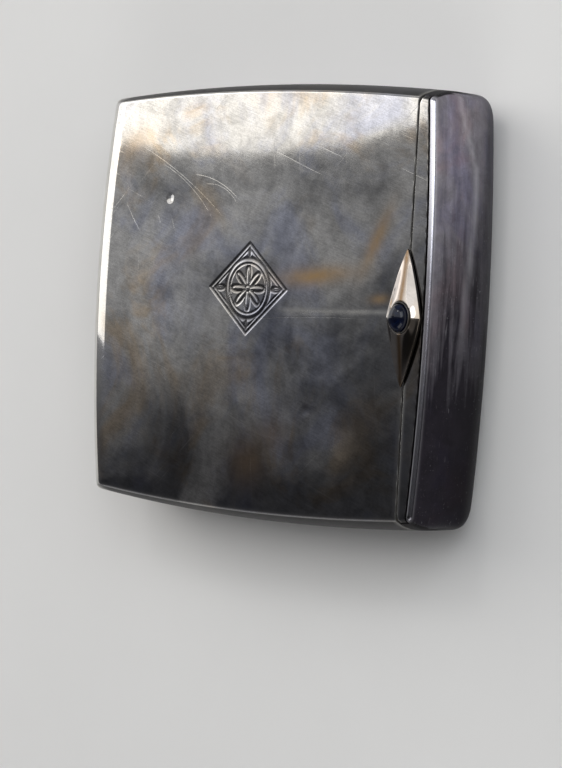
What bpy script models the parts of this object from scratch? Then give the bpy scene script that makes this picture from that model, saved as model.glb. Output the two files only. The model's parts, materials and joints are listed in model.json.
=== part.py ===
"""A book-type silver cigarette case with a cabochon thumbpiece, as separate pieces at real size.

The case lies on its flat back: +Z points out of the front face, +X towards the thumbpiece and +Y
along the hinge. The origin is the middle of the flat back. Lengths are in metres.
"""
import math

import bmesh
import bpy
from mathutils import Matrix, Vector

# Overall form, front face up
CORNER_WIDTH = 0.0892
CORNER_HEIGHT = 0.0760
THICKNESS = 0.0218
LID_DEPTH = 0.0080
WALL = 0.0009

# How far each side bows out between its corners
BOW_ENDS = 0.00215
BOW_SPINE = 0.00285
BOW_THUMB_SIDE = 0.00158

# Rounding of the sides, from front to back
SPINE_ROLL = 0.0081
BACK_ROLL = 0.0076
END_FILLET = 0.0010
FRONT_EDGE_FILLET = 0.00035
FLARE = 0.0021
FLARE_DEPTH = 0.0100
FLARE_POWER_SHARE = 3.0
CORNER_FRONT_RADIUS = 0.0010
CORNER_SIDE_RADIUS = 0.0022
CORNER_BACK_SHARE = 0.6

# Clearances
SEAT_GAP = 0.0003
SEAM_GAP = 0.00035
GROOVE_GAP = 0.0004
KNUCKLE_GAP = 0.00025
FINE_GAP = 0.00012
PIN_CLEARANCE = 0.0001
OVERRUN = 0.0050

# Fixed ledge along the thumbpiece side
LEDGE_END_WIDTH = 0.00248
LEDGE_THICKNESS = 0.0009
LEDGE_CORNER_RADIUS = 0.0010
FLANGE_THICKNESS = 0.0008
FLANGE_DEPTH = 0.0040

# Lip under the lid's straight edge
LIP_SETBACK = 0.0015
LIP_THICKNESS = 0.0007
LIP_DEPTH = 0.0036
LIP_BEVEL = 0.00015

# Bezel strips that stand out of the base into the lid
BEZEL_THICKNESS = 0.0006
BEZEL_ROOT = 0.0035
BEZEL_STAND = 0.0030
BEZEL_SPINE_MARGIN = 0.0100
BEZEL_LIP_MARGIN = 0.0020

# Hinge
HINGE_LENGTH = 0.0440
HINGE_INSET = 0.0005
KNUCKLE_RADIUS = 0.0012
KNUCKLE_COUNT = 7
PIN_RADIUS = 0.00055
PIN_BEVEL = 0.0001
BEARER_THICKNESS = 0.0006
BEARER_HEIGHT = 0.0036
BEARER_CLEARANCE = 0.0005

# Leaf spring under the ledge
SPRING_HALF_LENGTH = 0.0095
SPRING_HEIGHT = 0.0028
SPRING_THICKNESS = 0.00035
SPRING_CREST = 0.0010
SPRING_PAD = 0.0035
RIVET_SHANK_RADIUS = 0.0005
RIVET_HEAD_RADIUS = 0.0009
RIVET_HEAD_HEIGHT = 0.0004

# Thumbpiece
LOZENGE_LENGTH = 0.0251
LOZENGE_WIDTH = 0.0080
LOZENGE_RIM = 0.0006
LOZENGE_TIP = 0.0003
LOZENGE_RISE = 0.0009
LOZENGE_CORNER_SHARE = 1.74
LOZENGE_FLANK_SHARE = 1.3
LOZENGE_SETBACK = 0.0003
LOZENGE_DROP = 0.0016

# Collet and stone
STONE_WIDTH = 0.0042
STONE_LENGTH = 0.0052
STONE_GIRDLE = 0.0005
STONE_DOME = 0.0016
COLLET_WALL = 0.00025
COLLET_HEIGHT = 0.0008
COLLET_FLOOR = 0.0002
COLLET_SUNK = 0.0006

# Elastic band across the cigarettes and the two staples that hold it
CIGARETTE_ROOM = 0.0093
BAND_WIDTH = 0.0080
BAND_THICKNESS = 0.0006
STAPLE_RADIUS = 0.00045
STAPLE_REACH = 0.0022
STAPLE_SIDE_ROOM = 0.0008
STAPLE_BEND = 0.0008

# Mesh fineness, in counts
END_STEPS = 14
SIDE_STEPS = 12
CORNER_STEPS = 4
BACK_ROLL_STEPS = 6
SPINE_ROLL_STEPS = 6
END_FILLET_STEPS = 3
FLARE_STEPS = 3
KNUCKLE_STEPS = 20
ROUND_STEPS = 32
STONE_DOME_STEPS = 6
SPRING_STEPS = 16
LOZENGE_STEPS = 40
LOZENGE_RINGS = 6
STAPLE_BEND_STEPS = 4
MERGE_DISTANCE = 0.00001

# Places worked out from the sizes above
MID_X = (BOW_SPINE - BOW_THUMB_SIDE) / 2
HALF_WIDTH = CORNER_WIDTH / 2
HALF_HEIGHT = CORNER_HEIGHT / 2
SPINE_X = MID_X - HALF_WIDTH
THUMB_SIDE_X = MID_X + HALF_WIDTH
GROOVE_X = THUMB_SIDE_X - END_FILLET
SEAM_X = GROOVE_X - LEDGE_END_WIDTH
SEAM_Z = THICKNESS - LID_DEPTH
HINGE_X = SPINE_X - BOW_SPINE + HINGE_INSET
HINGE_Z = SEAM_Z
LID_EDGE_X = SEAM_X - SEAM_GAP / 2
LEDGE_EDGE_X = SEAM_X + SEAM_GAP / 2
LIP_X = LID_EDGE_X - LIP_SETBACK - LIP_THICKNESS / 2
INNER_SKIN = WALL + SEAT_GAP
BAND_Z = WALL + CIGARETTE_ROOM

# Finishes: colour, metallic value and roughness
SILVER = ((0.42, 0.41, 0.40), 1.0, 0.32)
BRIGHT_SILVER = ((0.66, 0.64, 0.61), 1.0, 0.18)
GILT = ((0.78, 0.60, 0.30), 1.0, 0.28)
STEEL = ((0.45, 0.45, 0.46), 1.0, 0.30)
SAPPHIRE = ((0.01, 0.02, 0.10), 0.0, 0.05)
ELASTIC = ((0.55, 0.42, 0.22), 0.0, 0.85)


def clear_scene():
    """Removes every object of the open scene."""
    for item in list(bpy.context.scene.objects):
        bpy.data.objects.remove(item, do_unlink=True)


def new_collection(name):
    """Makes a collection under the scene's own."""
    group = bpy.data.collections.new(name)
    bpy.context.scene.collection.children.link(group)
    return group


clear_scene()
CASE = new_collection("cigarette_case")
CUTTERS = new_collection("cutters")


def finish(piece, look):
    """Gives a piece a material of its own."""
    colour, metallic, roughness = look
    material = bpy.data.materials.new(piece.name)
    material.use_nodes = True
    shader = material.node_tree.nodes["Principled BSDF"]
    shader.inputs["Base Color"].default_value = (*colour, 1.0)
    shader.inputs["Metallic"].default_value = metallic
    shader.inputs["Roughness"].default_value = roughness
    material.diffuse_color = (*colour, 1.0)
    piece.data.materials.append(material)


def mesh_piece(name, body, look=None):
    """Turns a bmesh into a piece of the case, or into a cutter where no look is given."""
    bmesh.ops.recalc_face_normals(body, faces=body.faces[:])
    mesh = bpy.data.meshes.new(name)
    body.to_mesh(mesh)
    body.free()
    piece = bpy.data.objects.new(name, mesh)
    if look is None:
        CUTTERS.objects.link(piece)
        piece.display_type = "WIRE"
        piece.hide_render = True
    else:
        CASE.objects.link(piece)
        finish(piece, look)
    return piece


def boolean(piece, cutter, operation="DIFFERENCE"):
    """Cuts, joins or trims a piece with another mesh."""
    modifier = piece.modifiers.new(cutter.name, "BOOLEAN")
    modifier.operation = operation
    modifier.solver = "EXACT"
    modifier.object = cutter


def bevel(piece, width, segments=2):
    """Rounds a piece's edges."""
    modifier = piece.modifiers.new("edges", "BEVEL")
    modifier.width = width
    modifier.segments = segments
    modifier.limit_method = "ANGLE"


def loft(rings):
    """Joins closed rings of points, bottom to top, into one capped body."""
    body = bmesh.new()
    loops = [[body.verts.new(point) for point in ring] for ring in rings]
    for lower, upper in zip(loops, loops[1:]):
        for index, vertex in enumerate(lower):
            following = (index + 1) % len(lower)
            body.faces.new((vertex, lower[following], upper[following], upper[index]))
    body.faces.new(reversed(loops[0]))
    body.faces.new(loops[-1])
    return body


def box(name, low, high, look=None):
    """A block between two corners, from a unit cube."""
    body = bmesh.new()
    bmesh.ops.create_cube(body, size=1.0)
    low = Vector(low)
    high = Vector(high)
    bmesh.ops.scale(body, vec=high - low, verts=body.verts[:])
    bmesh.ops.translate(body, vec=(low + high) / 2, verts=body.verts[:])
    return mesh_piece(name, body, look)


def rod(name, radius, length, axis, centre, look=None, steps=KNUCKLE_STEPS):
    """A round bar along the Y or X axis."""
    body = bmesh.new()
    bmesh.ops.create_cone(body, cap_ends=True, segments=steps, radius1=radius, radius2=radius, depth=length)
    turn = Matrix.Rotation(-math.pi / 2, 4, "X") if axis == "Y" else Matrix.Rotation(math.pi / 2, 4, "Y")
    bmesh.ops.transform(body, matrix=Matrix.Translation(centre) @ turn, verts=body.verts[:])
    return mesh_piece(name, body, look)


def turned(name, profile, look, steps):
    """A turned piece: its profile runs down the outer side and is spun about Z."""
    mesh = bpy.data.meshes.new(name)
    edges = [(index, index + 1) for index in range(len(profile) - 1)]
    if profile[0][0] > 0:
        edges.append((len(profile) - 1, 0))
    mesh.from_pydata([(radius, 0.0, height) for radius, height in profile], edges, [])
    piece = bpy.data.objects.new(name, mesh)
    CASE.objects.link(piece)
    screw = piece.modifiers.new("turn", "SCREW")
    screw.steps = steps
    screw.render_steps = steps
    screw.use_merge_vertices = True
    screw.merge_threshold = MERGE_DISTANCE
    finish(piece, look)
    return piece


def round_over(depth, radius):
    """How far a quarter-round of this radius has drawn in at a depth below its edge."""
    if radius <= 0 or depth >= radius:
        return 0.0
    rest = radius - max(depth, 0.0)
    return radius - math.sqrt(radius * radius - rest * rest)


def bow_of_end(x):
    """How far the top and bottom ends stand out at a place across the case."""
    return BOW_ENDS * (1 - ((x - MID_X) / HALF_WIDTH) ** 2)


def bow_share(y):
    """Share of a side's bow at a height along the case."""
    return 1 - (y / HALF_HEIGHT) ** 2


def extents(z, inset):
    """Spine side, thumb side, half height and corner radius of the skin at one level."""
    lower = z - inset
    upper = THICKNESS - inset - z
    back = round_over(lower, BACK_ROLL - inset)
    down = min(max((THICKNESS - z) / FLARE_DEPTH, 0.0), 1.0)
    flare = FLARE * (1 - (1 - down) ** FLARE_POWER_SHARE)
    spine = SPINE_X + inset + back + round_over(upper, SPINE_ROLL - inset)
    thumb = THUMB_SIDE_X - inset - back - round_over(upper, END_FILLET - inset)
    half = HALF_HEIGHT + flare - inset - back - round_over(upper, FRONT_EDGE_FILLET - inset)
    corner = CORNER_FRONT_RADIUS + (CORNER_SIDE_RADIUS - CORNER_FRONT_RADIUS) * down
    return spine, thumb, half, corner + back * CORNER_BACK_SHARE


def skin_levels(inset):
    """Heights of the sections that the skin is lofted through."""
    low = inset
    high = THICKNESS - inset
    levels = {low, high}

    def quarter(radius, steps, start, sense):
        """Adds the levels of a quarter-round that ends at a face."""
        for step in range(1, steps + 1):
            if radius > 0:
                levels.add(start + sense * radius * (1 - math.cos(math.pi / 2 * step / steps)))

    quarter(BACK_ROLL - inset, BACK_ROLL_STEPS, low, 1)
    quarter(SPINE_ROLL - inset, SPINE_ROLL_STEPS, high, -1)
    quarter(END_FILLET - inset, END_FILLET_STEPS, high, -1)
    for step in range(1, FLARE_STEPS + 1):
        levels.add(THICKNESS - FLARE_DEPTH * step / FLARE_STEPS)
    kept = []
    for level in sorted(levels):
        if level > high:
            continue
        if kept and level - kept[-1] < MERGE_DISTANCE * END_STEPS:
            continue
        kept.append(level)
    kept[-1] = high
    return kept


def outline(z, inset):
    """The bowed rectangle that the skin makes at one level, anticlockwise seen from the front."""
    spine, thumb, half, corner = extents(z, inset)

    def spine_at(y):
        return spine - BOW_SPINE * bow_share(y)

    def thumb_at(y):
        return thumb + BOW_THUMB_SIDE * bow_share(y)

    def end_at(x):
        return half + bow_of_end(x)

    def along(start, stop, steps):
        return [start + (stop - start) * step / steps for step in range(steps + 1)]

    def rounded(first, tip, last):
        points = []
        for step in range(1, CORNER_STEPS):
            t = step / CORNER_STEPS
            points.append(tuple((1 - t) ** 2 * a + 2 * t * (1 - t) * b + t * t * c
                                for a, b, c in zip(first, tip, last)))
        return points

    reach_thumb = end_at(thumb) - corner
    reach_spine = end_at(spine) - corner
    edge_thumb = thumb_at(half) - corner
    edge_spine = spine_at(half) + corner
    thumb_side = [(thumb_at(y), y) for y in along(-reach_thumb, reach_thumb, SIDE_STEPS)]
    top_end = [(x, end_at(x)) for x in along(edge_thumb, edge_spine, END_STEPS)]
    spine_side = [(spine_at(y), y) for y in along(reach_spine, -reach_spine, SIDE_STEPS)]
    bottom_end = [(x, -end_at(x)) for x in along(edge_spine, edge_thumb, END_STEPS)]
    thumb_tip = (thumb_at(half), end_at(thumb))
    spine_tip = (spine_at(half), end_at(spine))
    ring = thumb_side + rounded(thumb_side[-1], thumb_tip, top_end[0])
    ring += top_end + rounded(top_end[-1], spine_tip, spine_side[0])
    ring += spine_side + rounded(spine_side[-1], (spine_tip[0], -spine_tip[1]), bottom_end[0])
    ring += bottom_end + rounded(bottom_end[-1], (thumb_tip[0], -thumb_tip[1]), thumb_side[0])
    return [(x, y, z) for x, y in ring]


def skin(name, inset, look=None):
    """A solid of the whole case, drawn in from the outer skin by an inset."""
    return mesh_piece(name, loft([outline(z, inset) for z in skin_levels(inset)]), look)


def groove_at(y):
    """Place of the groove between the ledge and the end wall."""
    return GROOVE_X + BOW_THUMB_SIDE * bow_share(y)


def ledge_prism(name, inner_x, drawn_in, low, corner_radius=0.0):
    """An upright block between a straight inner side and the bowed groove."""
    reach = HALF_HEIGHT + BOW_ENDS + OVERRUN
    sides = []
    for step in range(SIDE_STEPS * 2 + 1):
        y = reach * (step / SIDE_STEPS - 1)
        sides.append((groove_at(y) - drawn_in, y))
    if corner_radius > 0:
        tip = HALF_HEIGHT + bow_of_end(inner_x)
        upper = []
        for step in range(CORNER_STEPS + 1):
            angle = math.pi / 2 * step / CORNER_STEPS
            upper.append((inner_x + corner_radius * (1 - math.sin(angle)),
                          tip - corner_radius * (1 - math.cos(angle))))
        upper.insert(0, (upper[0][0], reach))
    else:
        upper = [(inner_x, reach)]
    ring = sides + upper + [(x, -y) for x, y in reversed(upper)]
    high = THICKNESS + OVERRUN
    return mesh_piece(name, loft([[(x, y, z) for x, y in ring] for z in (low, high)]))


def skin_band(name, thickness, low, high, look):
    """A strip that follows the inside of the skin within a block."""
    piece = skin(name, INNER_SKIN, look)
    boolean(piece, skin(name + "_core", INNER_SKIN + thickness))
    boolean(piece, box(name + "_block", low, high), "INTERSECT")
    return piece


def make_shells():
    """The lid and the base, cut from one hollow skin along the seam."""
    reach_x = HALF_WIDTH + OVERRUN * 2
    reach_y = HALF_HEIGHT + OVERRUN * 2
    core = skin("case_core", WALL)
    scoop = rod("hinge_scoop", KNUCKLE_RADIUS + KNUCKLE_GAP, HINGE_LENGTH + 2 * SEAT_GAP, "Y",
                (HINGE_X, 0.0, HINGE_Z))
    lid = skin("lid_shell", 0.0, SILVER)
    boolean(lid, core)
    boolean(lid, box("lid_block", (-reach_x, -reach_y, SEAM_Z + SEAM_GAP / 2),
                     (LID_EDGE_X, reach_y, THICKNESS + OVERRUN)), "INTERSECT")
    boolean(lid, scoop)
    base = skin("base_shell", 0.0, SILVER)
    boolean(base, core)
    boolean(base, box("lid_bay", (-reach_x, -reach_y, SEAM_Z - SEAM_GAP / 2),
                      (LEDGE_EDGE_X, reach_y, THICKNESS + OVERRUN)))
    boolean(base, ledge_prism("ledge_pocket", LID_EDGE_X, 0.0, THICKNESS - LEDGE_THICKNESS - SEAT_GAP))
    boolean(base, scoop)
    return lid, base


def make_ledge():
    """The fixed strip beside the lid, with the flange that hangs from its inner edge."""
    ledge = skin("front_ledge", 0.0, SILVER)
    under = THICKNESS - LEDGE_THICKNESS
    boolean(ledge, ledge_prism("ledge_block", LEDGE_EDGE_X, GROOVE_GAP, under, LEDGE_CORNER_RADIUS),
            "INTERSECT")
    half = extents(under, INNER_SKIN)[2]
    flange = box("ledge_flange", (LEDGE_EDGE_X, -half, under - FLANGE_DEPTH),
                 (LEDGE_EDGE_X + FLANGE_THICKNESS, half, under + LEDGE_THICKNESS / 2))
    boolean(ledge, flange, "UNION")
    return ledge


def make_lip():
    """The strip under the lid's straight edge."""
    high = THICKNESS - INNER_SKIN
    half = extents(high, INNER_SKIN)[2] - SEAT_GAP
    lip = box("lid_lip", (LIP_X - LIP_THICKNESS / 2, -half, high - LIP_DEPTH),
              (LIP_X + LIP_THICKNESS / 2, half, high), SILVER)
    bevel(lip, LIP_BEVEL)
    return lip


def make_bezels():
    """The two gilt strips inside the base's ends, which stand up into the lid."""
    low_x = SPINE_X + BEZEL_SPINE_MARGIN
    high_x = LIP_X - LIP_THICKNESS / 2 - BEZEL_LIP_MARGIN
    inner_y = HALF_HEIGHT - OVERRUN
    outer_y = HALF_HEIGHT + OVERRUN * 2
    low_z = SEAM_Z - BEZEL_ROOT
    high_z = SEAM_Z + BEZEL_STAND
    top = skin_band("bezel_top", BEZEL_THICKNESS, (low_x, inner_y, low_z), (high_x, outer_y, high_z), GILT)
    bottom = skin_band("bezel_bottom", BEZEL_THICKNESS, (low_x, -outer_y, low_z),
                       (high_x, -inner_y, high_z), GILT)
    return top, bottom


def make_bearers():
    """The strips that back the hinge inside the lid and inside the base."""
    clear = KNUCKLE_RADIUS + BEARER_CLEARANCE
    half = HINGE_LENGTH / 2
    far_x = SPINE_X - BOW_SPINE - OVERRUN
    near_x = SPINE_X + OVERRUN
    base_bearer = skin_band("base_hinge_bearer", BEARER_THICKNESS,
                            (far_x, -half, HINGE_Z - clear - BEARER_HEIGHT),
                            (near_x, half, HINGE_Z - clear), GILT)
    lid_bearer = skin_band("lid_hinge_bearer", BEARER_THICKNESS, (far_x, -half, HINGE_Z + clear),
                           (near_x, half, HINGE_Z + clear + BEARER_HEIGHT), GILT)
    return base_bearer, lid_bearer


def make_knuckles():
    """Seven tubes in a row on the hinge axis, the odd ones on the base."""
    length = (HINGE_LENGTH - KNUCKLE_GAP * (KNUCKLE_COUNT - 1)) / KNUCKLE_COUNT
    bore = PIN_RADIUS + PIN_CLEARANCE
    profile = [(KNUCKLE_RADIUS, length / 2), (KNUCKLE_RADIUS, -length / 2), (bore, -length / 2),
               (bore, length / 2)]
    on_base = []
    on_lid = []
    for index in range(KNUCKLE_COUNT):
        owner, prefix = (on_lid, "lid_knuckle_") if index % 2 else (on_base, "base_knuckle_")
        knuckle = turned(prefix + str(len(owner) + 1), profile, SILVER, KNUCKLE_STEPS)
        middle = -HINGE_LENGTH / 2 + length / 2 + index * (length + KNUCKLE_GAP)
        knuckle.location = (HINGE_X, middle, HINGE_Z)
        knuckle.rotation_euler = (-math.pi / 2, 0.0, 0.0)
        owner.append(knuckle)
    return on_base, on_lid


def make_pin():
    """The hinge pin, which runs the whole length of the knuckles."""
    pin = rod("hinge_pin", PIN_RADIUS, HINGE_LENGTH, "Y", (HINGE_X, 0.0, HINGE_Z), STEEL)
    bevel(pin, PIN_BEVEL, 1)
    return pin


def make_catch(ledge):
    """The bowed leaf spring on the ledge's flange and its two rivets."""
    under = THICKNESS - LEDGE_THICKNESS
    level = under - FLANGE_DEPTH / 2
    back = LEDGE_EDGE_X - FINE_GAP
    rings = []
    for step in range(SPRING_STEPS + 1):
        y = SPRING_HALF_LENGTH * (2 * step / SPRING_STEPS - 1)
        free = max(0.0, 1 - abs(y) / (SPRING_HALF_LENGTH - SPRING_PAD))
        crest = SPRING_CREST * math.sin(free * math.pi / 2) ** 2
        low = level - SPRING_HEIGHT / 2
        high = level + SPRING_HEIGHT / 2
        front = back - SPRING_THICKNESS
        rings.append([(front - crest, y, low), (back - crest, y, low), (back - crest, y, high),
                      (front - crest, y, high)])
    spring = mesh_piece("catch_spring", loft(rings), STEEL)
    head_x = back - SPRING_THICKNESS - FINE_GAP
    tail_x = LEDGE_EDGE_X + FLANGE_THICKNESS + FINE_GAP
    shank = tail_x - head_x
    profile = [(0.0, RIVET_HEAD_HEIGHT + shank),
               (RIVET_HEAD_RADIUS, RIVET_HEAD_HEIGHT + shank),
               (RIVET_HEAD_RADIUS, RIVET_HEAD_HEIGHT / 2 + shank),
               (RIVET_SHANK_RADIUS, shank),
               (RIVET_SHANK_RADIUS, 0.0),
               (RIVET_HEAD_RADIUS, 0.0),
               (RIVET_HEAD_RADIUS, -RIVET_HEAD_HEIGHT / 2),
               (0.0, -RIVET_HEAD_HEIGHT)]
    rivets = []
    for name, sense in (("spring_rivet_top", 1), ("spring_rivet_bottom", -1)):
        y = sense * (SPRING_HALF_LENGTH - SPRING_PAD / 2)
        hole = rod(name + "_hole", RIVET_SHANK_RADIUS + FINE_GAP, SPRING_HALF_LENGTH, "X",
                   (head_x, y, level))
        boolean(spring, hole)
        boolean(ledge, hole)
        rivet = turned(name, profile, STEEL, KNUCKLE_STEPS)
        rivet.location = (head_x, y, level)
        rivet.rotation_euler = (0.0, math.pi / 2, 0.0)
        rivets.append(rivet)
    return spring, rivets


def make_thumbpiece():
    """The lozenge over the seam: concave flanks rise from its rim to the seat of the stone.

    It sits a little below the middle, and its rim thins towards the two tips.
    """
    foot = THICKNESS + SEAT_GAP
    centre_x = SEAM_X - LOZENGE_SETBACK
    centre_y = -LOZENGE_DROP
    crown = foot + LOZENGE_RIM + LOZENGE_RISE
    seat_x = STONE_WIDTH / 2 + COLLET_WALL + FINE_GAP
    seat_y = STONE_LENGTH / 2 + COLLET_WALL + FINE_GAP
    rise_x = seat_x + COLLET_WALL
    rise_y = seat_y + COLLET_WALL

    def ring(blend, on_foot=False):
        """A ring between the lozenge and the seat's ellipse."""
        points = []
        for step in range(LOZENGE_STEPS):
            angle = 2 * math.pi * step / LOZENGE_STEPS
            across = math.cos(angle)
            along = math.sin(angle)
            outer_x = math.copysign(abs(across) ** LOZENGE_CORNER_SHARE, across) * LOZENGE_WIDTH / 2
            outer_y = math.copysign(abs(along) ** LOZENGE_CORNER_SHARE, along) * LOZENGE_LENGTH / 2
            rim = foot + LOZENGE_TIP + (LOZENGE_RIM - LOZENGE_TIP) * abs(across)
            z = foot if on_foot else rim + (crown - rim) * blend ** LOZENGE_FLANK_SHARE
            points.append((centre_x + outer_x + (across * rise_x - outer_x) * blend,
                           centre_y + outer_y + (along * rise_y - outer_y) * blend, z))
        return points

    rings = [ring(0.0, on_foot=True)]
    for step in range(LOZENGE_RINGS + 1):
        rings.append(ring(step / LOZENGE_RINGS))
    thumbpiece = mesh_piece("thumbpiece", loft(rings), BRIGHT_SILVER)
    pocket_rings = []
    for z in (crown - COLLET_SUNK, crown + OVERRUN):
        pocket_rings.append([(centre_x + seat_x * math.cos(2 * math.pi * step / ROUND_STEPS),
                              centre_y + seat_y * math.sin(2 * math.pi * step / ROUND_STEPS), z)
                             for step in range(ROUND_STEPS)])
    boolean(thumbpiece, mesh_piece("stone_pocket", loft(pocket_rings)))
    return thumbpiece, (centre_x, centre_y, crown - COLLET_SUNK + FINE_GAP)


def make_stone(seat):
    """The cup-shaped collet and the domed oval stone in it."""
    centre_x, centre_y, level = seat
    outer = STONE_WIDTH / 2 + COLLET_WALL
    inner = outer - COLLET_WALL + FINE_GAP / 2
    collet = turned("stone_collet",
                    [(outer, COLLET_HEIGHT), (outer, 0.0), (0.0, 0.0), (0.0, COLLET_FLOOR),
                     (inner, COLLET_FLOOR), (inner, COLLET_HEIGHT)], BRIGHT_SILVER, ROUND_STEPS)
    collet.location = (centre_x, centre_y, level)
    radius = STONE_WIDTH / 2 - FINE_GAP / 2
    profile = []
    for step in range(STONE_DOME_STEPS + 1):
        angle = math.pi / 2 * step / STONE_DOME_STEPS
        profile.append((radius * math.sin(angle), STONE_GIRDLE + STONE_DOME * math.cos(angle)))
    profile += [(radius, 0.0), (0.0, 0.0)]
    stone = turned("cabochon", profile, SAPPHIRE, ROUND_STEPS)
    stone.location = (centre_x, centre_y, level + COLLET_FLOOR + FINE_GAP)
    for piece in (collet, stone):
        piece.scale = (1.0, STONE_LENGTH / STONE_WIDTH, 1.0)
    return collet, stone


def make_staple(name, wall_x, sense):
    """A bent wire that stands out of a wall, with its bar across the band's end."""
    bar_x = wall_x + sense * STAPLE_REACH
    side = BAND_WIDTH / 2 + STAPLE_SIDE_ROOM
    path = [(wall_x + sense * FINE_GAP, -side)]
    for turn in (-1, 1):
        for step in range(STAPLE_BEND_STEPS + 1):
            angle = math.pi / 2 * step / STAPLE_BEND_STEPS
            lean = math.sin(angle) if turn < 0 else math.cos(angle)
            drop = math.cos(angle) if turn < 0 else math.sin(angle)
            path.append((bar_x - sense * STAPLE_BEND * (1 - lean),
                         turn * (side - STAPLE_BEND * (1 - drop))))
    path.append((wall_x + sense * FINE_GAP, side))
    curve = bpy.data.curves.new(name, "CURVE")
    curve.dimensions = "3D"
    curve.bevel_depth = STAPLE_RADIUS
    curve.bevel_resolution = 2
    curve.use_fill_caps = True
    spline = curve.splines.new("POLY")
    spline.points.add(len(path) - 1)
    for point, (x, y) in zip(spline.points, path):
        point.co = (x, y, BAND_Z, 1.0)
    staple = bpy.data.objects.new(name, curve)
    CASE.objects.link(staple)
    finish(staple, GILT)
    return staple, bar_x


def make_retainer():
    """The elastic band across the base, looped round a staple at each end."""
    spine_wall = SPINE_X - BOW_SPINE + INNER_SKIN + BEARER_THICKNESS
    end_wall = THUMB_SIDE_X + BOW_THUMB_SIDE - WALL
    hinge_staple, left_x = make_staple("band_staple_hinge_side", spine_wall, 1)
    end_staple, right_x = make_staple("band_staple_end_side", end_wall, -1)
    eye = STAPLE_RADIUS + FINE_GAP
    loop = eye + BAND_THICKNESS
    half = BAND_WIDTH / 2
    band = box("retaining_band", (left_x, -half, BAND_Z + eye), (right_x, half, BAND_Z + loop), ELASTIC)
    for name, x in (("hinge_side", left_x), ("end_side", right_x)):
        boolean(band, rod("band_loop_" + name, loop, BAND_WIDTH, "Y", (x, 0.0, BAND_Z)), "UNION")
        boolean(band, rod("band_eye_" + name, eye, BAND_WIDTH + OVERRUN, "Y", (x, 0.0, BAND_Z)))
    return band, hinge_staple, end_staple


def hang_on_pivot(pieces):
    """Puts the lid's pieces under an empty on the hinge axis."""
    pivot = bpy.data.objects.new("lid_pivot", None)
    pivot.location = (HINGE_X, 0.0, HINGE_Z)
    CASE.objects.link(pivot)
    for piece in pieces:
        piece.parent = pivot
        piece.location = Vector(piece.location) - Vector(pivot.location)


def smooth_round_pieces():
    """Shades the curved pieces smooth and keeps their real edges sharp."""
    for piece in CASE.objects:
        if piece.type == "MESH" and piece.data.polygons:
            piece.data.shade_smooth()
            piece.data.set_sharp_from_angle(angle=math.radians(30))


def main():
    """Builds every piece of the case."""
    lid_shell, _base_shell = make_shells()
    ledge = make_ledge()
    lip = make_lip()
    make_bezels()
    lid_bearer = make_bearers()[1]
    lid_knuckles = make_knuckles()[1]
    make_pin()
    make_catch(ledge)
    thumbpiece, seat = make_thumbpiece()
    collet, stone = make_stone(seat)
    make_retainer()
    hang_on_pivot([lid_shell, lip, lid_bearer, thumbpiece, collet, stone] + lid_knuckles)
    smooth_round_pieces()


main()
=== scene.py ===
"""The looks of a book-type silver cigarette case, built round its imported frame.

Lengths are in metres. +Z points out of the front face, +X towards the thumbpiece and +Y along
the hinge. The closed case lies on its flat back, and the camera looks at its front from the
thumbpiece side.
"""
import json
import logging
import math
from dataclasses import dataclass, field, replace
from enum import Enum
from typing import Callable, NamedTuple, Optional, Sequence

import bmesh
import bpy
import numpy as np
from mathutils import Matrix, Vector


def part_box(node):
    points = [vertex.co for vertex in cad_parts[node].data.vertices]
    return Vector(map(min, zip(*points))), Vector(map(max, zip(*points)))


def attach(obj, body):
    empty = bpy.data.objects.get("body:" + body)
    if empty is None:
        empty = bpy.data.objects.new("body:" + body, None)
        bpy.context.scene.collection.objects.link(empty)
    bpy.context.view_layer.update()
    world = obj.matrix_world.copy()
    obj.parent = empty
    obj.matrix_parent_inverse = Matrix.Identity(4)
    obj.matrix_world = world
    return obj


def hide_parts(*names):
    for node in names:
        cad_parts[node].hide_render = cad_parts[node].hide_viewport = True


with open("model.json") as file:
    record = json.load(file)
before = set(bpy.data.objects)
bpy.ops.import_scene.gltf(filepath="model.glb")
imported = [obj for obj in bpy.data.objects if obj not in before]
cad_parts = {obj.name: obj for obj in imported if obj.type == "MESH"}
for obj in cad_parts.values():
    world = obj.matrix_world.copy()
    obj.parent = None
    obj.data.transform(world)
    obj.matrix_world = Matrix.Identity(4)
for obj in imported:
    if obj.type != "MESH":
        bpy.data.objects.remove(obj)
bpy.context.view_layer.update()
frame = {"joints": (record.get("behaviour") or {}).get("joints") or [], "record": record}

Array = np.ndarray
Piece = bpy.types.Object
Material = bpy.types.Material
Tree = bpy.types.NodeTree
Socket = bpy.types.NodeSocket
Table = tuple[tuple[float, ...], tuple[float, ...]]
LOG = logging.getLogger("cigarette_case")

MM = 0.001
WELD_DISTANCE = 0.000002
SHARP_ANGLE = math.radians(32)
EDGE_SEGMENTS = 2
WIRE_SIDES = 16


class Body(Enum):
    """The two bodies of the case."""

    BASE = "base"
    LID = "lid"


class Slot(Enum):
    """The record's material slots."""

    SILVER = "silver"
    BRIGHT = "bright_silver"
    GILT = "gilt"
    STEEL = "steel"
    STONE = "stone"
    ELASTIC = "elastic"


# Mesh building


@dataclass
class Part:
    """One grid or polygon of a mesh before it is welded: its points, faces and material place."""

    points: Array
    faces: Sequence[Sequence[int]]
    material: int = 0


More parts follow.
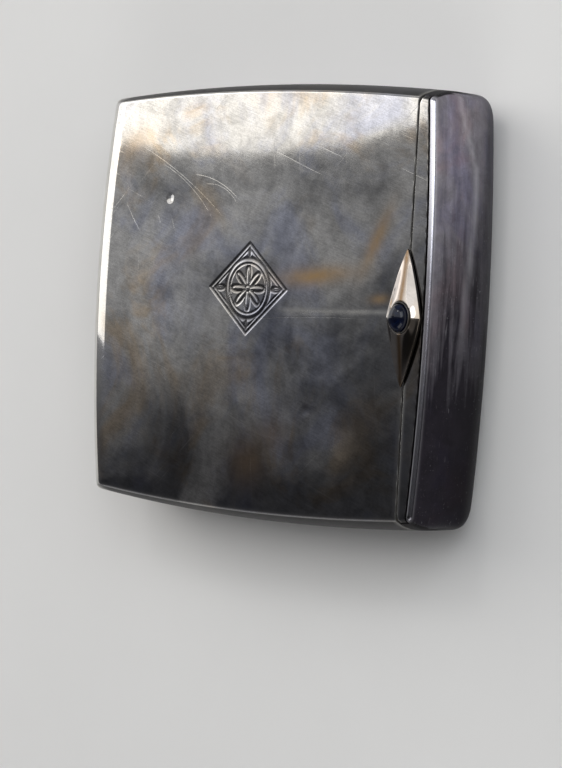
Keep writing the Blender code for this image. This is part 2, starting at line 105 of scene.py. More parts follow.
def grid(points: Array, material: int = 0, wrap: bool = False) -> Part:
    """Makes quads over a grid of points.

    Each quad joins a point to its neighbours in the next row and column; a wrapped grid also
    joins its last column to its first.

    Args:
        points: array of rows, columns and three coordinates.
        material: place of the material on the mesh.
        wrap: whether the columns close into a loop.

    Returns:
        The grid as a part.
    """
    rows, columns = points.shape[:2]
    index = np.arange(rows * columns).reshape(rows, columns)
    if wrap:
        index = np.concatenate([index, index[:, :1]], axis=1)
    quads = np.stack([index[:-1, :-1], index[:-1, 1:], index[1:, 1:], index[1:, :-1]], axis=-1)
    return Part(points.reshape(-1, 3), quads.reshape(-1, 4).tolist(), material)


def polygon(points: Array) -> Part:
    """Makes one flat face from a loop of points."""
    return Part(points, [list(range(len(points)))])


def between(first: Array, second: Array) -> Part:
    """Makes a strip of quads between two rows of points."""
    return grid(np.stack([first, second]))


def quarter_turn(steps: int) -> Array:
    """Angles from nought to a quarter turn."""
    return np.linspace(0.0, np.pi / 2, steps + 1)


def weld(name: str, parts: Sequence[Part], materials: Sequence[Material]) -> Piece:
    """Joins parts into one closed mesh with its faces pointing out.

    Args:
        name: the piece's name.
        parts: grids and polygons whose edges meet.
        materials: the piece's materials in their order.

    Returns:
        The new object, linked to the scene.
    """
    points = np.concatenate([part.points for part in parts])
    faces = []
    places = []
    start = 0
    for part in parts:
        faces += [[start + corner for corner in face] for face in part.faces]
        places += [part.material] * len(part.faces)
        start += len(part.points)
    mesh = bpy.data.meshes.new(name)
    mesh.from_pydata(points.tolist(), [], faces)
    for material in materials:
        mesh.materials.append(material)
    mesh.polygons.foreach_set("material_index", np.array(places, dtype=np.int32))
    body = bmesh.new()
    body.from_mesh(mesh)
    bmesh.ops.remove_doubles(body, verts=body.verts[:], dist=WELD_DISTANCE)
    bmesh.ops.dissolve_degenerate(body, edges=body.edges[:], dist=WELD_DISTANCE / 10)
    bmesh.ops.recalc_face_normals(body, faces=body.faces[:])
    body.to_mesh(mesh)
    body.free()
    piece = bpy.data.objects.new(name, mesh)
    bpy.context.scene.collection.objects.link(piece)
    return piece


def bake_modifiers(piece: Piece) -> None:
    """Applies every modifier of a piece to its mesh.

    Args:
        piece: the piece.
    """
    graph = bpy.context.evaluated_depsgraph_get()
    mesh = bpy.data.meshes.new_from_object(piece.evaluated_get(graph))
    piece.modifiers.clear()
    piece.data = mesh


def cut_away(piece: Piece, cutter: Piece) -> None:
    """Cuts a piece with a cutter, which is then removed.

    Args:
        piece: the piece to cut.
        cutter: the body that is cut away.
    """
    modifier = piece.modifiers.new("cut", "BOOLEAN")
    modifier.operation = "DIFFERENCE"
    modifier.solver = "EXACT"
    modifier.object = cutter
    bake_modifiers(piece)
    bpy.data.objects.remove(cutter, do_unlink=True)


def soften(piece: Piece, width: float) -> None:
    """Rounds a piece's sharp edges by a small width.

    Args:
        piece: the piece.
        width: how far each rounding reaches.
    """
    modifier = piece.modifiers.new("edges", "BEVEL")
    modifier.width = width
    modifier.segments = EDGE_SEGMENTS
    modifier.limit_method = "ANGLE"
    modifier.angle_limit = SHARP_ANGLE
    modifier.harden_normals = True
    bake_modifiers(piece)


def smooth(piece: Piece) -> None:
    """Shades a piece smooth and keeps its real edges sharp."""
    piece.data.shade_smooth()
    piece.data.set_sharp_from_angle(angle=SHARP_ANGLE)


def read_points(mesh: bpy.types.Mesh) -> Array:
    """Reads a mesh's points as an array.

    Args:
        mesh: the mesh.

    Returns:
        Array of points and coordinates.
    """
    points = np.empty(len(mesh.vertices) * 3, dtype=np.float32)
    mesh.vertices.foreach_get("co", points)
    return points.reshape(-1, 3).astype(float)


def paint(piece: Piece, name: str, value: Callable[[Array], Array]) -> None:
    """Stores a value for each point of a piece, worked out from the points' places.

    Args:
        piece: the piece to paint.
        name: the attribute's name, which the finishes read.
        value: a function from an array of points to an array of numbers.
    """
    layer = piece.data.attributes.get(name) or piece.data.attributes.new(name, "FLOAT", "POINT")
    layer.data.foreach_set("value", value(read_points(piece.data)).astype(np.float32))


def follow(places: Array, table: Table) -> Array:
    """Reads a table of places in millimetres and values at places in metres."""
    return np.interp(places / MM, *table)


def block(name: str, low: Sequence[float], high: Sequence[float]) -> Piece:
    """Makes a plain block between two corners, as a cutter.

    Args:
        name: the block's name.
        low: its lowest corner.
        high: its highest corner.

    Returns:
        The block.
    """
    x, y, z = (np.array([a, b]) for a, b in zip(low, high))
    ring = np.array([[x[0], y[0]], [x[1], y[0]], [x[1], y[1]], [x[0], y[1]]])
    return prism(name, ring, z[0], z[1])


def prism(name: str, ring: Array, low: float, high: float) -> Piece:
    """Raises a flat outline between two heights, as a cutter."""
    rows = np.stack([np.column_stack([ring, np.full(len(ring), z)]) for z in (low, high)])
    return weld(name, sweep_parts(rows), [])


def sweep_parts(sections: Array) -> list[Part]:
    """Joins closed sections, one row each, into a capped body."""
    return [grid(sections, wrap=True), polygon(sections[0]), polygon(sections[-1])]


def revolve(profile: Array, steps: int, centre: Sequence[float], turn: Matrix,
            stretch: float = 1.0) -> Array:
    """Turns a profile about its own axis.

    Each point at radius r and height h becomes (r cos a, s r sin a, h) for every angle a, where
    s stretches the circle into an oval; the result is then turned and moved into place.

    Args:
        profile: array of radius and height.
        steps: points round the circle.
        centre: where the profile's origin goes.
        turn: rotation of the axis from +Z.
        stretch: length of the oval over its width.

    Returns:
        Array of profile points, angles and three coordinates.
    """
    angle = np.linspace(0.0, 2 * np.pi, steps, endpoint=False)
    radius, height = profile[:, :1], profile[:, 1:]
    points = np.stack([radius * np.cos(angle), radius * np.sin(angle) * stretch,
                       height * np.ones_like(angle)], axis=-1)
    return points @ np.array(turn.to_3x3()).T + np.array(centre)


def turned(name: str, profile: Array, steps: int, centre: Sequence[float], turn: Matrix,
           material: Material, stretch: float = 1.0) -> Piece:
    """Makes a piece from a turned profile that is closed, or starts and ends on its own axis."""
    return weld(name, [grid(revolve(profile, steps, centre, turn, stretch), wrap=True)], [material])


def rounded_loop(corners: Array, radius: float, steps: int = 3) -> Array:
    """Rounds each corner of a closed loop with a curve that starts and ends a radius away from it.

    The curve at a corner c with neighbours a and b is (1-t)^2 p + 2t(1-t) c + t^2 q, where p and
    q lie on the two sides.

    Args:
        corners: array of the loop's corners.
        radius: distance from each corner to the curve's ends.
        steps: pieces in each curve.

    Returns:
        The rounded loop.
    """
    before = np.roll(corners, 1, axis=0) - corners
    after = np.roll(corners, -1, axis=0) - corners
    start = corners + before / np.linalg.norm(before, axis=1, keepdims=True) * radius
    stop = corners + after / np.linalg.norm(after, axis=1, keepdims=True) * radius
    t = np.linspace(0.0, 1.0, steps + 1)[None, :, None]
    curve = (1 - t) ** 2 * start[:, None] + 2 * t * (1 - t) * corners[:, None] + t ** 2 * stop[:, None]
    return curve.reshape(-1, corners.shape[1])


def tube(path: Array, radius: float) -> list[Part]:
    """Carries a circle along a path that lies level, as for a bent wire.

    At each point the circle stands square to the path's direction d, on the axes d x z and z.

    Args:
        path: array of points along the wire.
        radius: the wire's radius.

    Returns:
        The wire's wall and caps.
    """
    direction = np.gradient(path, axis=0)
    direction /= np.linalg.norm(direction, axis=1, keepdims=True)
    up = np.array([0.0, 0.0, 1.0])
    side = np.cross(direction, up)
    angle = np.linspace(0.0, 2 * np.pi, WIRE_SIDES, endpoint=False)[None, :, None]
    ring = path[:, None] + radius * (np.cos(angle) * side[:, None] + np.sin(angle) * up)
    return sweep_parts(ring)


def stations(low: float, high: float, centre: float, half: float, fine: float, coarse: float) -> Array:
    """Spaces places along a line, close together round a centre and wider elsewhere.

    Args:
        low: where the line starts.
        high: where the line ends.
        centre: middle of the close stretch.
        half: half of that stretch's length.
        fine: spacing in that stretch.
        coarse: spacing elsewhere.

    Returns:
        The places in their order.
    """
    inner_low, inner_high = max(low, centre - half), min(high, centre + half)
    runs = [(low, inner_low, coarse), (inner_low, inner_high, fine), (inner_high, high, coarse)]
    places = [np.linspace(a, b, max(2, int(round((b - a) / step)) + 1)) for a, b, step in runs]
    return np.unique(np.round(np.concatenate(places), 9))


def patch(bottom: Array, top: Array, left: Array, right: Array, s: Array, t: Array) -> Array:
    """Fills four bounding curves with a grid.

    A point is the blend of bottom and top by t, plus the blend of left and right by s, less the
    blend of the four corners.

    Args:
        bottom: curve from the left corner to the right one, along s.
        top: the same along the far side.
        left: curve from the bottom corner to the top one, along t.
        right: the same along the far side.
        s: shares along bottom and top.
        t: shares along left and right.

    Returns:
        Array of rows along t, columns along s and the coordinates.
    """
    s = s[None, :, None]
    t = t[:, None, None]
    across = (1 - t) * bottom[None] + t * top[None]
    along = (1 - s) * left[:, None] + s * right[:, None]
    corners = (1 - t) * ((1 - s) * bottom[0] + s * bottom[-1]) + t * ((1 - s) * top[0] + s * top[-1])
    return across + along - corners


# The form that the shells share


def round_over(depth: Array, radius: Array) -> Array:
    """How far a quarter-round has drawn in at a depth below its edge: r - sqrt(r^2 - (r - depth)^2).

    Args:
        depth: depth below the edge.
        radius: radius r of the round.

    Returns:
        The distance at each depth.
    """
    radius = np.maximum(radius, 0.0)
    rest = np.clip(radius - depth, 0.0, radius)
    return radius - np.sqrt(radius ** 2 - rest ** 2)


@dataclass(frozen=True)
class Skin:
    """The closed case's outer form: a bowed, flared and rolled box.

    Its outline at a height z, drawn in by an inset, has four bowed sides, each a parabola between
    its corners, joined by quadratic corner curves.
    """

    spine_x: float
    thumb_x: float
    thickness: float
    seam: float
    wall: float = 0.0009
    half_height: float = 0.0380
    bow_ends: float = 0.00215
    bow_spine: float = 0.00285
    bow_thumb: float = 0.00158
    spine_roll: float = 0.0081
    back_roll: float = 0.0076
    thumb_fillet: float = 0.0010
    front_fillet: float = 0.00035
    flare: float = 0.0021
    flare_depth: float = 0.0100
    corner_front: float = 0.0010
    corner_side: float = 0.0022
    corner_back_share: float = 0.6
    crown: float = 0.00035
    corner_steps: int = 8
    roll_steps: int = 16
    wall_steps: int = 12
    side_steps: int = 61

    @property
    def mid_x(self) -> float:
        """Middle of the case across."""
        return (self.spine_x + self.thumb_x) / 2

    @property
    def half_width(self) -> float:
        """Half of the width between the corners."""
        return (self.thumb_x - self.spine_x) / 2

    @property
    def groove_x(self) -> float:
        """Place of the groove at the corners."""
        return self.thumb_x - self.thumb_fillet

    def bow_share(self, y: Array) -> Array:
        """Share of a side's bow at a height along the case: 1 - (y / half)^2."""
        return 1 - (y / self.half_height) ** 2

    def groove_at(self, y: Array) -> Array:
        """Place of the groove between the ledge and the end wall."""
        return self.groove_x + self.bow_thumb * self.bow_share(y)

    def end_at(self, half: Array, x: Array) -> Array:
        """How far out the top end lies at a place across the case."""
        return half + self.bow_ends * (1 - ((x - self.mid_x) / self.half_width) ** 2)

    def extents(self, z: Array, inset: float) -> tuple[Array, Array, Array, Array]:
        """Spine side, thumb side, half height and corner radius of the skin at given heights.

        Args:
            z: the heights.
            inset: how far the outline is drawn in.

        Returns:
            The four of them at each height.
        """
        upper = self.thickness - inset - z
        back = round_over(z - inset, self.back_roll - inset)
        down = np.clip((self.thickness - z) / self.flare_depth, 0.0, 1.0)
        flare = self.flare * (1 - (1 - down) ** 3)
        spine = self.spine_x + inset + back + round_over(upper, self.spine_roll - inset)
        thumb = self.thumb_x - inset - back - round_over(upper, self.thumb_fillet - inset)
        half = self.half_height + flare - inset - back - round_over(upper, self.front_fillet - inset)
        corner = self.corner_front + (self.corner_side - self.corner_front) * down
        return spine, thumb, half, corner + back * self.corner_back_share

    def beyond_front(self, points: Array) -> Array:
        """How far points on the ends' outer walls lie beyond the front's end edge, or nought inside.

        Args:
            points: array of points.

        Returns:
            The distance for each point.
        """
        x, y, z = points[:, 0], np.abs(points[:, 1]), points[:, 2]
        inside = self.end_at(self.extents(z, self.wall / 2)[2], x)
        return np.where(y > inside, y - self.end_at(self.half_height, x), 0.0)

    def side_run(self, z: Array, inset: float, share: Array, spine_side: bool) -> Array:
        """The spine or the thumb side from bottom to top, for shares from -1 to 1 of its reach.

        Args:
            z: heights as a column.
            inset: how far the outline is drawn in.
            share: shares of the way from the middle to the corners.
            spine_side: whether it is the spine's side.

        Returns:
            Array of heights, points and x and y.
        """
        side, bow, half, corner = self.side_and_bow(z, inset, spine_side)
        y = (self.end_at(half, side) - corner) * share
        return np.stack([side + bow * self.bow_share(y), y], axis=-1)

    def side_and_bow(self, z: Array, inset: float, spine_side: bool) -> tuple[Array, float, Array, Array]:
        """A side's place, its bow with its sign, the half height and the corner radius.

        Args:
            z: the heights.
            inset: how far the outline is drawn in.
            spine_side: whether it is the spine's side.

        Returns:
            The four of them.
        """
        spine, thumb, half, corner = self.extents(z, inset)
        if spine_side:
            return spine, -self.bow_spine, half, corner
        return thumb, self.bow_thumb, half, corner

    def end_run(self, z: Array, inset: float, share: Array, sense: int,
                cut: Optional[float] = None) -> Array:
        """An end from the spine's corner to the thumb side's corner, or to a cut across it.

        Args:
            z: heights as a column.
            inset: how far the outline is drawn in.
            share: shares of the way across.
            sense: 1 for the top end and -1 for the bottom one.
            cut: place of the cut.

        Returns:
            Array of heights, points and x and y.
        """
        spine, thumb, half, corner = self.extents(z, inset)
        first = spine - self.bow_spine * self.bow_share(half) + corner
        last = thumb + self.bow_thumb * self.bow_share(half) - corner if cut is None else cut
        x = first + (last - first) * share
        return np.stack([x, sense * self.end_at(half, x)], axis=-1)

    def corner_run(self, first: Array, last: Array, z: Array, inset: float, spine_side: bool,
                   sense: int) -> Array:
        """A corner's curve between two sides' ends, without those ends.

        Args:
            first: where the curve starts at each height.
            last: where it ends at each height.
            z: heights as a column.
            inset: how far the outline is drawn in.
            spine_side: whether it is the spine's side.
            sense: 1 for the top end and -1 for the bottom one.

        Returns:
            Array of heights, points and x and y.
        """
        side, bow, half, _corner = self.side_and_bow(z, inset, spine_side)
        tip = np.stack([side + bow * self.bow_share(half), sense * self.end_at(half, side)], axis=-1)
        t = (np.arange(1, self.corner_steps) / self.corner_steps)[None, :, None]
        return (1 - t) ** 2 * first[:, None] + 2 * t * (1 - t) * tip + t ** 2 * last[:, None]

    def open_ring(self, z: Array, inset: float, cut: float, across: Array, along: Array) -> Array:
        """The outline from the cut, along the bottom end, the spine and the top end, to the cut.

        Args:
            z: heights as a column.
            inset: how far the outline is drawn in.
            cut: place of the straight cut.
            across: shares along the ends, from 0 at the spine to 1 at the cut.
            along: shares along the spine side, from -1 to 1.

        Returns:
            Array of heights, points and x and y.
        """
        bottom = self.end_run(z, inset, across[None], -1, cut)[:, ::-1]
        spine = self.side_run(z, inset, along[None], True)
        top = self.end_run(z, inset, across[None], 1, cut)
        low = self.corner_run(bottom[:, -1], spine[:, 0], z, inset, True, -1)
        high = self.corner_run(spine[:, -1], top[:, 0], z, inset, True, 1)
        return np.concatenate([bottom, low, spine, high, top], axis=1)

    def closed_ring(self, z: Array, inset: float, across: Array, along: Array) -> Array:
        """The whole outline, anticlockwise seen from the front, for heights as a column.

        Args:
            z: heights as a column.
            inset: how far the outline is drawn in.
            across: shares along the ends.
            along: shares along the sides.

        Returns:
            Array of heights, points and x and y.
        """
        runs = [self.side_run(z, inset, along[None], False),
                self.end_run(z, inset, across[None], 1)[:, ::-1],
                self.side_run(z, inset, along[None], True)[:, ::-1],
                self.end_run(z, inset, across[None], -1)]
        corners = ((False, 1), (True, 1), (True, -1), (False, -1))
        pieces = []
        for run, after, (spine_side, sense) in zip(runs, runs[1:] + runs[:1], corners):
            pieces += [run, self.corner_run(run[:, -1], after[:, 0], z, inset, spine_side, sense)]
        return np.concatenate(pieces, axis=1)

    def raise_to(self, ring: Array, z: Array) -> Array:
        """Adds the heights to an outline's points, with the crown of the front."""
        points = np.concatenate([ring, np.broadcast_to(z[..., None], (*ring.shape[:2], 1))], axis=-1)
        return self.crowned(points)

    def crowned(self, points: Array) -> Array:
        """Lifts points above the seam by the front's slight crown.

        The lift is c (1 - u^2)(1 - v^2) w^2, where u and v are the shares of the way out to the
        sides and the ends, and w is the share of the way from the seam up to the face.

        Args:
            points: array whose last axis has the coordinates.

        Returns:
            The lifted points.
        """
        u = np.clip((points[..., 0] - self.mid_x) / (self.half_width + self.bow_spine), -1, 1)
        v = np.clip(points[..., 1] / (self.half_height + self.bow_ends), -1, 1)
        w = np.clip((points[..., 2] - self.seam) / (self.thickness - self.seam), 0, 1)
        lifted = points.copy()
        lifted[..., 2] += self.crown * (1 - u ** 2) * (1 - v ** 2) * w ** 2
        return lifted

    def solid(self, name: str, inset: float, materials: Sequence[Material],
              place: int) -> Piece:
        """The whole skin as one closed body, which the base is cut from.

        Args:
            name: the object's name.
            inset: how far the body is drawn in.
            materials: its materials.
            place: which of them its faces have.

        Returns:
            The body.
        """
        low, high = inset, self.thickness - inset
        turn = quarter_turn(self.roll_steps)
        back = low + (self.back_roll - inset) * (1 - np.cos(turn))
        top = high - (self.thumb_fillet + self.wall) * (1 - np.sin(turn[::2]))
        side = np.linspace(back[-1], top[0], self.wall_steps)
        z = np.unique(np.round(np.concatenate([back, side, top]), 8))[:, None]
        across, along = np.linspace(0.0, 1.0, self.side_steps), np.linspace(-1.0, 1.0, self.side_steps)
        rows = self.raise_to(self.closed_ring(z, inset, across, along), z)
        parts = [grid(rows, place, wrap=True)]
        for level in (z[:1], z[-1:]):
            parts.append(grid(self.face(level, inset, None, across, along), place))
        return weld(name, parts, materials)

    def face(self, level: Array, inset: float, cut: Optional[float], across: Array,
             along: Array) -> Array:
        """A grid over the outline at one level, up to a straight cut or the whole of it.

        Args:
            level: the level as a column of one.
            inset: how far the outline is drawn in.
            cut: place of the cut, or None.
            across: shares along the ends.
            along: shares along the sides.

        Returns:
            Array of rows, columns and coordinates.
        """
        bottom = self.end_run(level, inset, across[None], -1, cut)[0]
        top = self.end_run(level, inset, across[None], 1, cut)[0]
        left = self.side_with_corners(bottom[:1], top[:1], level, inset, along, True)
        t = (left[:, 1] - left[0, 1]) / (left[-1, 1] - left[0, 1])
        if cut is None:
            right = self.side_with_corners(bottom[-1:], top[-1:], level, inset, along, False)
        else:
            height = bottom[-1, 1] + (top[-1, 1] - bottom[-1, 1]) * t
            right = np.stack([np.full_like(t, cut), height], axis=-1)
        flat = patch(bottom, top, left, right, across, t)
        return self.raise_to(flat, np.full(flat.shape[:2], level.item()))

    def side_with_corners(self, first: Array, last: Array, level: Array, inset: float, along: Array,
                          spine_side: bool) -> Array:
        """A side at one level with the corners that join it to the ends' first and last points.

        Args:
            first: the bottom end's point.
            last: the top end's point.
            level: the level as a column of one.
            inset: how far the outline is drawn in.
            along: shares along the side.
            spine_side: whether it is the spine's side.

        Returns:
            Array of points and x and y.
        """
        side = self.side_run(level, inset, along[None], spine_side)
        low = self.corner_run(first, side[:, 0], level, inset, spine_side, -1)
        high = self.corner_run(side[:, -1], last, level, inset, spine_side, 1)
        return np.concatenate([first, low[0], side[0], high[0], last])


# Effects that the finishes share


class Nodes:
    """Adds and joins the nodes of one node tree."""

    def __init__(self, tree: Tree) -> None:
        """Keeps the tree."""
        self.tree = tree

    def add(self, kind: str, inputs: Optional[dict] = None, **settings: object) -> bpy.types.Node:
        """Adds a node.

        Args:
            kind: the node's type.
            inputs: values or output sockets for its inputs, by name or place.
            settings: the node's own properties.

        Returns:
            The node.
        """
        node = self.tree.nodes.new(kind)
        for name, value in settings.items():
            setattr(node, name, value)
        for name, value in (inputs or {}).items():
            if isinstance(value, Socket):
                self.tree.links.new(value, node.inputs[name])
            else:
                node.inputs[name].default_value = value
        return node

    def math(self, operation: str, *values: object, clamp: bool = False) -> Socket:
        """Adds a Math node over numbers and sockets."""
        node = self.add("ShaderNodeMath", dict(enumerate(values)), operation=operation, use_clamp=clamp)
        return node.outputs[0]

    def times(self, first: object, second: object, clamp: bool = False) -> Socket:
        """Multiplies two values."""
        return self.math("MULTIPLY", first, second, clamp=clamp)

    def scaled(self, value: object, gain: object, rest: object, clamp: bool = False) -> Socket:
        """Multiplies a value by its gain and adds the rest."""
        return self.math("MULTIPLY_ADD", value, gain, rest, clamp=clamp)

    def join(self, socket: Socket, node: bpy.types.Node, name: str) -> None:
        """Joins an output socket to a node's input."""
        self.tree.links.new(socket, node.inputs[name])

    def ramp(self, value: object, low: float, high: float, start: float = 0.0,
             stop: float = 1.0) -> Socket:
        """Maps a value from one range to another with a soft start and end."""
        node = self.add("ShaderNodeMapRange", {0: value, 1: low, 2: high, 3: start, 4: stop},
                        interpolation_type="SMOOTHSTEP")
        return node.outputs[0]

    def mix(self, share: object, first: object, second: object,
            blend: str = "MIX") -> Socket:
        """Mixes two colours."""
        node = self.add("ShaderNodeMix", {0: share, 6: first, 7: second}, data_type="RGBA",
                        blend_type=blend)
        return node.outputs[2]


@dataclass(frozen=True)
class Pattern:
    """A noise pattern, in patches per metre, and the range of its values that shows as a mask."""

    scale: float
    detail: float = 4.0
    roughness: float = 0.55
    distortion: float = 0.0
    low: float = 0.0
    high: float = 1.0
    shift: tuple[float, float, float] = (0.0, 0.0, 0.0)
    stretch: tuple[float, float, float] = (1.0, 1.0, 1.0)

    def value(self, nodes: Nodes, place: Socket) -> Socket:
        """Adds the pattern's noise on shifted and stretched coordinates.

        Args:
            nodes: where the nodes are added.
            place: the coordinates.

        Returns:
            The noise from nought to one.
        """
        moved = nodes.add("ShaderNodeMapping", {"Vector": place, "Location": self.shift,
                                                "Scale": self.stretch}).outputs[0]
        return nodes.add("ShaderNodeTexNoise", {
            "Vector": moved, "Scale": self.scale, "Detail": self.detail, "Roughness": self.roughness,
            "Distortion": self.distortion}).outputs[0]

    def mask(self, nodes: Nodes, place: Socket) -> Socket:
        """The pattern's values between low and high as a mask from nought to one."""
        return nodes.ramp(self.value(nodes, place), self.low, self.high)


FLOAT, VECTOR = "NodeSocketFloat", "NodeSocketVector"


def new_group(name: str, inputs: Sequence[tuple[str, str, object]],
              outputs: Sequence[str]) -> tuple[Nodes, bpy.types.Node, bpy.types.Node]:
    """Starts a shader node group with named sockets.

    Args:
        name: the group's name.
        inputs: name, socket type and value of each input.
        outputs: name of each output, which is a mask.

    Returns:
        The group's nodes, its input node and its output node.
    """
    tree = bpy.data.node_groups.new(name, "ShaderNodeTree")
    for label, kind, value in inputs:
        socket = tree.interface.new_socket(name=label, in_out="INPUT", socket_type=kind)
        if value is not None:
            socket.default_value = value
    for label in outputs:
        tree.interface.new_socket(name=label, in_out="OUTPUT", socket_type=FLOAT)
    nodes = Nodes(tree)
    return nodes, nodes.add("NodeGroupInput"), nodes.add("NodeGroupOutput")


TARNISH_PATTERNS = {
    "Cloud": Pattern(26.0, 5.0, 0.55, 0.6, low=0.40, high=0.61),
    "Warm": Pattern(46.0, 4.0, 0.60, 1.1, low=0.50, high=0.70, shift=(0.31, 0.12, 0.05)),
    "Cool": Pattern(38.0, 6.0, 0.60, 1.4, low=0.46, high=0.68, shift=(-0.2, 0.4, 0.1)),
    "Mottle": Pattern(260.0, 6.0, 0.65, 0.4, low=0.30, high=0.70, shift=(0.7, -0.3, 0.2)),
    "Streak": Pattern(420.0, 4.0, 0.60, 0.3, low=0.35, high=0.68, shift=(0.2, 0.1, 0.6),
                      stretch=(1.0, 0.09, 1.0)),
}


def make_tarnish_group() -> Tree:
    """Old silver's mottling as masks: clouds, warm stains, cool smudges, mottle and wiped streaks.

    Returns:
        The node group.
    """
    nodes, given, result = new_group("tarnish", [("Vector", VECTOR, None)], list(TARNISH_PATTERNS))
    for label, pattern in TARNISH_PATTERNS.items():
        nodes.join(pattern.mask(nodes, given.outputs["Vector"]), result, label)
    return nodes.tree


BRUSHED_LINES = Pattern(420.0, 4.0, 0.7)
SPECKLE = Pattern(2600.0, 3.0, 0.6)
SPECKLE_SHARE = 0.4
GRAIN_RANGE = (0.35, 0.65)


def make_grain_group() -> Tree:
    """Fine wear of a wiped surface: short brushed lines one way, mixed with fine speckle.

    Returns:
        The node group.
    """
    nodes, given, result = new_group(
        "grain", [("Vector", VECTOR, None), ("Lean", FLOAT, 0.3), ("Stretch", FLOAT, 14.0)], ["Grain"])
    place, stretch = given.outputs["Vector"], given.outputs["Stretch"]
    leant = nodes.add("ShaderNodeVectorRotate", {"Vector": place, "Angle": given.outputs["Lean"]},
                      rotation_type="Z_AXIS").outputs[0]
    stretched = nodes.add("ShaderNodeCombineXYZ", {0: 1.0, 1: stretch, 2: stretch}).outputs[0]
    lines = nodes.add("ShaderNodeVectorMath", {0: leant, 1: stretched}, operation="MULTIPLY").outputs[0]
    both = nodes.math("ADD", nodes.times(BRUSHED_LINES.value(nodes, lines), 1 - SPECKLE_SHARE),
                      nodes.times(SPECKLE.value(nodes, place), SPECKLE_SHARE))
    nodes.join(nodes.ramp(both, *GRAIN_RANGE), result, "Grain")
    return nodes.tree


class Hairlines(NamedTuple):
    """A run of hairline scratches: its lean in radians, and noise per metre across and along it."""

    lean: float
    across: float
    along: float


HAIRLINES = (Hairlines(0.35, 1900.0, 38.0), Hairlines(-0.75, 2500.0, 60.0), Hairlines(1.45, 2200.0, 48.0))
HAIRLINE = Pattern(1.0, 1.0, 0.5, 0.15, low=0.70, high=0.77)
SCRATCHED_PATCHES = Pattern(75.0, 3.0, low=0.35, high=0.7, shift=(0.4, 0.3, 0.1))


def make_scratch_group() -> Tree:
    """Hairline scratches: noise stretched along three directions and cut high, kept in patches.

    Returns:
        The node group.
    """
    nodes, given, result = new_group("scratches", [("Vector", VECTOR, None), ("Amount", FLOAT, 0.5)],
                                     ["Scratch"])
    place = given.outputs["Vector"]
    both = None
    for run in HAIRLINES:
        leant = nodes.add("ShaderNodeVectorRotate", {"Vector": place, "Angle": run.lean},
                          rotation_type="Z_AXIS").outputs[0]
        lines = replace(HAIRLINE, stretch=(run.along, run.across, run.across)).mask(nodes, leant)
        both = lines if both is None else nodes.math("MAXIMUM", both, lines)
    share = nodes.times(SCRATCHED_PATCHES.mask(nodes, place), given.outputs["Amount"])
    nodes.join(nodes.times(both, share), result, "Scratch")
    return nodes.tree


MARK_SOCKETS = ("Centre X", "Centre Y", "Radius", "Middle X", "Middle Y", "Reach", "Width")
MARK_PRESSURE = Pattern(420.0, 2.0)
FRONT_LEVEL = 21 * MM
MARK_CORE, MARK_END, MARK_LIGHTEST = 0.3, 0.6, 0.35
MARK_SKIPS = (0.30, 0.55)


def make_mark_group() -> Tree:
    """One long scratch on the front: the band about a circle, kept within reach of its middle.

    Returns:
        The node group.
    """
    nodes, given, result = new_group(
        "mark", [("Vector", VECTOR, None)] + [(name, FLOAT, 0.0) for name in MARK_SOCKETS], ["Mark"])
    x, y, z = nodes.add("ShaderNodeSeparateXYZ", {0: given.outputs["Vector"]}).outputs

    def away(name: str) -> Socket:
        """Distance from a named centre in the plane of the front.

        Args:
            name: first word of the centre's sockets.

        Returns:
            The distance.
        """
        across = nodes.math("SUBTRACT", x, given.outputs[name + " X"])
        along = nodes.math("SUBTRACT", y, given.outputs[name + " Y"])
        return nodes.math("SQRT", nodes.math("ADD", nodes.times(across, across),
                                             nodes.times(along, along)))

    off = nodes.math("ABSOLUTE", nodes.math("SUBTRACT", away("Centre"), given.outputs["Radius"]))
    line = nodes.ramp(nodes.math("DIVIDE", off, given.outputs["Width"]), MARK_CORE, 1.0, 1.0, 0.0)
    ends = nodes.ramp(nodes.math("DIVIDE", away("Middle"), given.outputs["Reach"]), MARK_END, 1.0, 1.0, 0.0)
    pressure = MARK_PRESSURE.value(nodes, given.outputs["Vector"])
    pressed = nodes.ramp(pressure, *MARK_SKIPS, MARK_LIGHTEST, 1.0)
    on_front = nodes.math("GREATER_THAN", z, FRONT_LEVEL)
    shown = nodes.times(nodes.times(line, ends),
                       nodes.times(pressed, on_front))
    nodes.join(shown, result, "Mark")
    return nodes.tree


@dataclass(frozen=True)
class LongScratch:
    """A scratch on the front that runs through three points, in millimetres."""

    start: tuple[float, float]
    middle: tuple[float, float]
    end: tuple[float, float]
    width: float
    overreach: float = 1.15

    def values(self) -> dict[str, float]:
        """The sockets of the mark group: the circle through the points, its middle and its reach.

        The centre c solves 2 (p - m).c = |p|^2 - |m|^2 for both end points p, with middle m.

        Returns:
            A value for each socket, in metres.
        """
        start, middle, end = (np.array(point) * MM for point in (self.start, self.middle, self.end))
        sides = 2 * np.stack([start - middle, end - middle])
        centre = np.linalg.solve(sides, [start @ start - middle @ middle, end @ end - middle @ middle])
        reach = max(np.linalg.norm(start - middle), np.linalg.norm(end - middle)) * self.overreach
        radius = np.linalg.norm(start - centre)
        return dict(zip(MARK_SOCKETS, (*centre, radius, *middle, reach, self.width * MM)))


class Dent(NamedTuple):
    """A small dent on the front, in millimetres."""

    x: float
    y: float
    radius: float
    depth: float


class Oval(NamedTuple):
    """A soft oval on the front, in millimetres and radians, and how strong it is."""

    x: float
    y: float
    length: float
    width: float
    lean: float
    amount: float


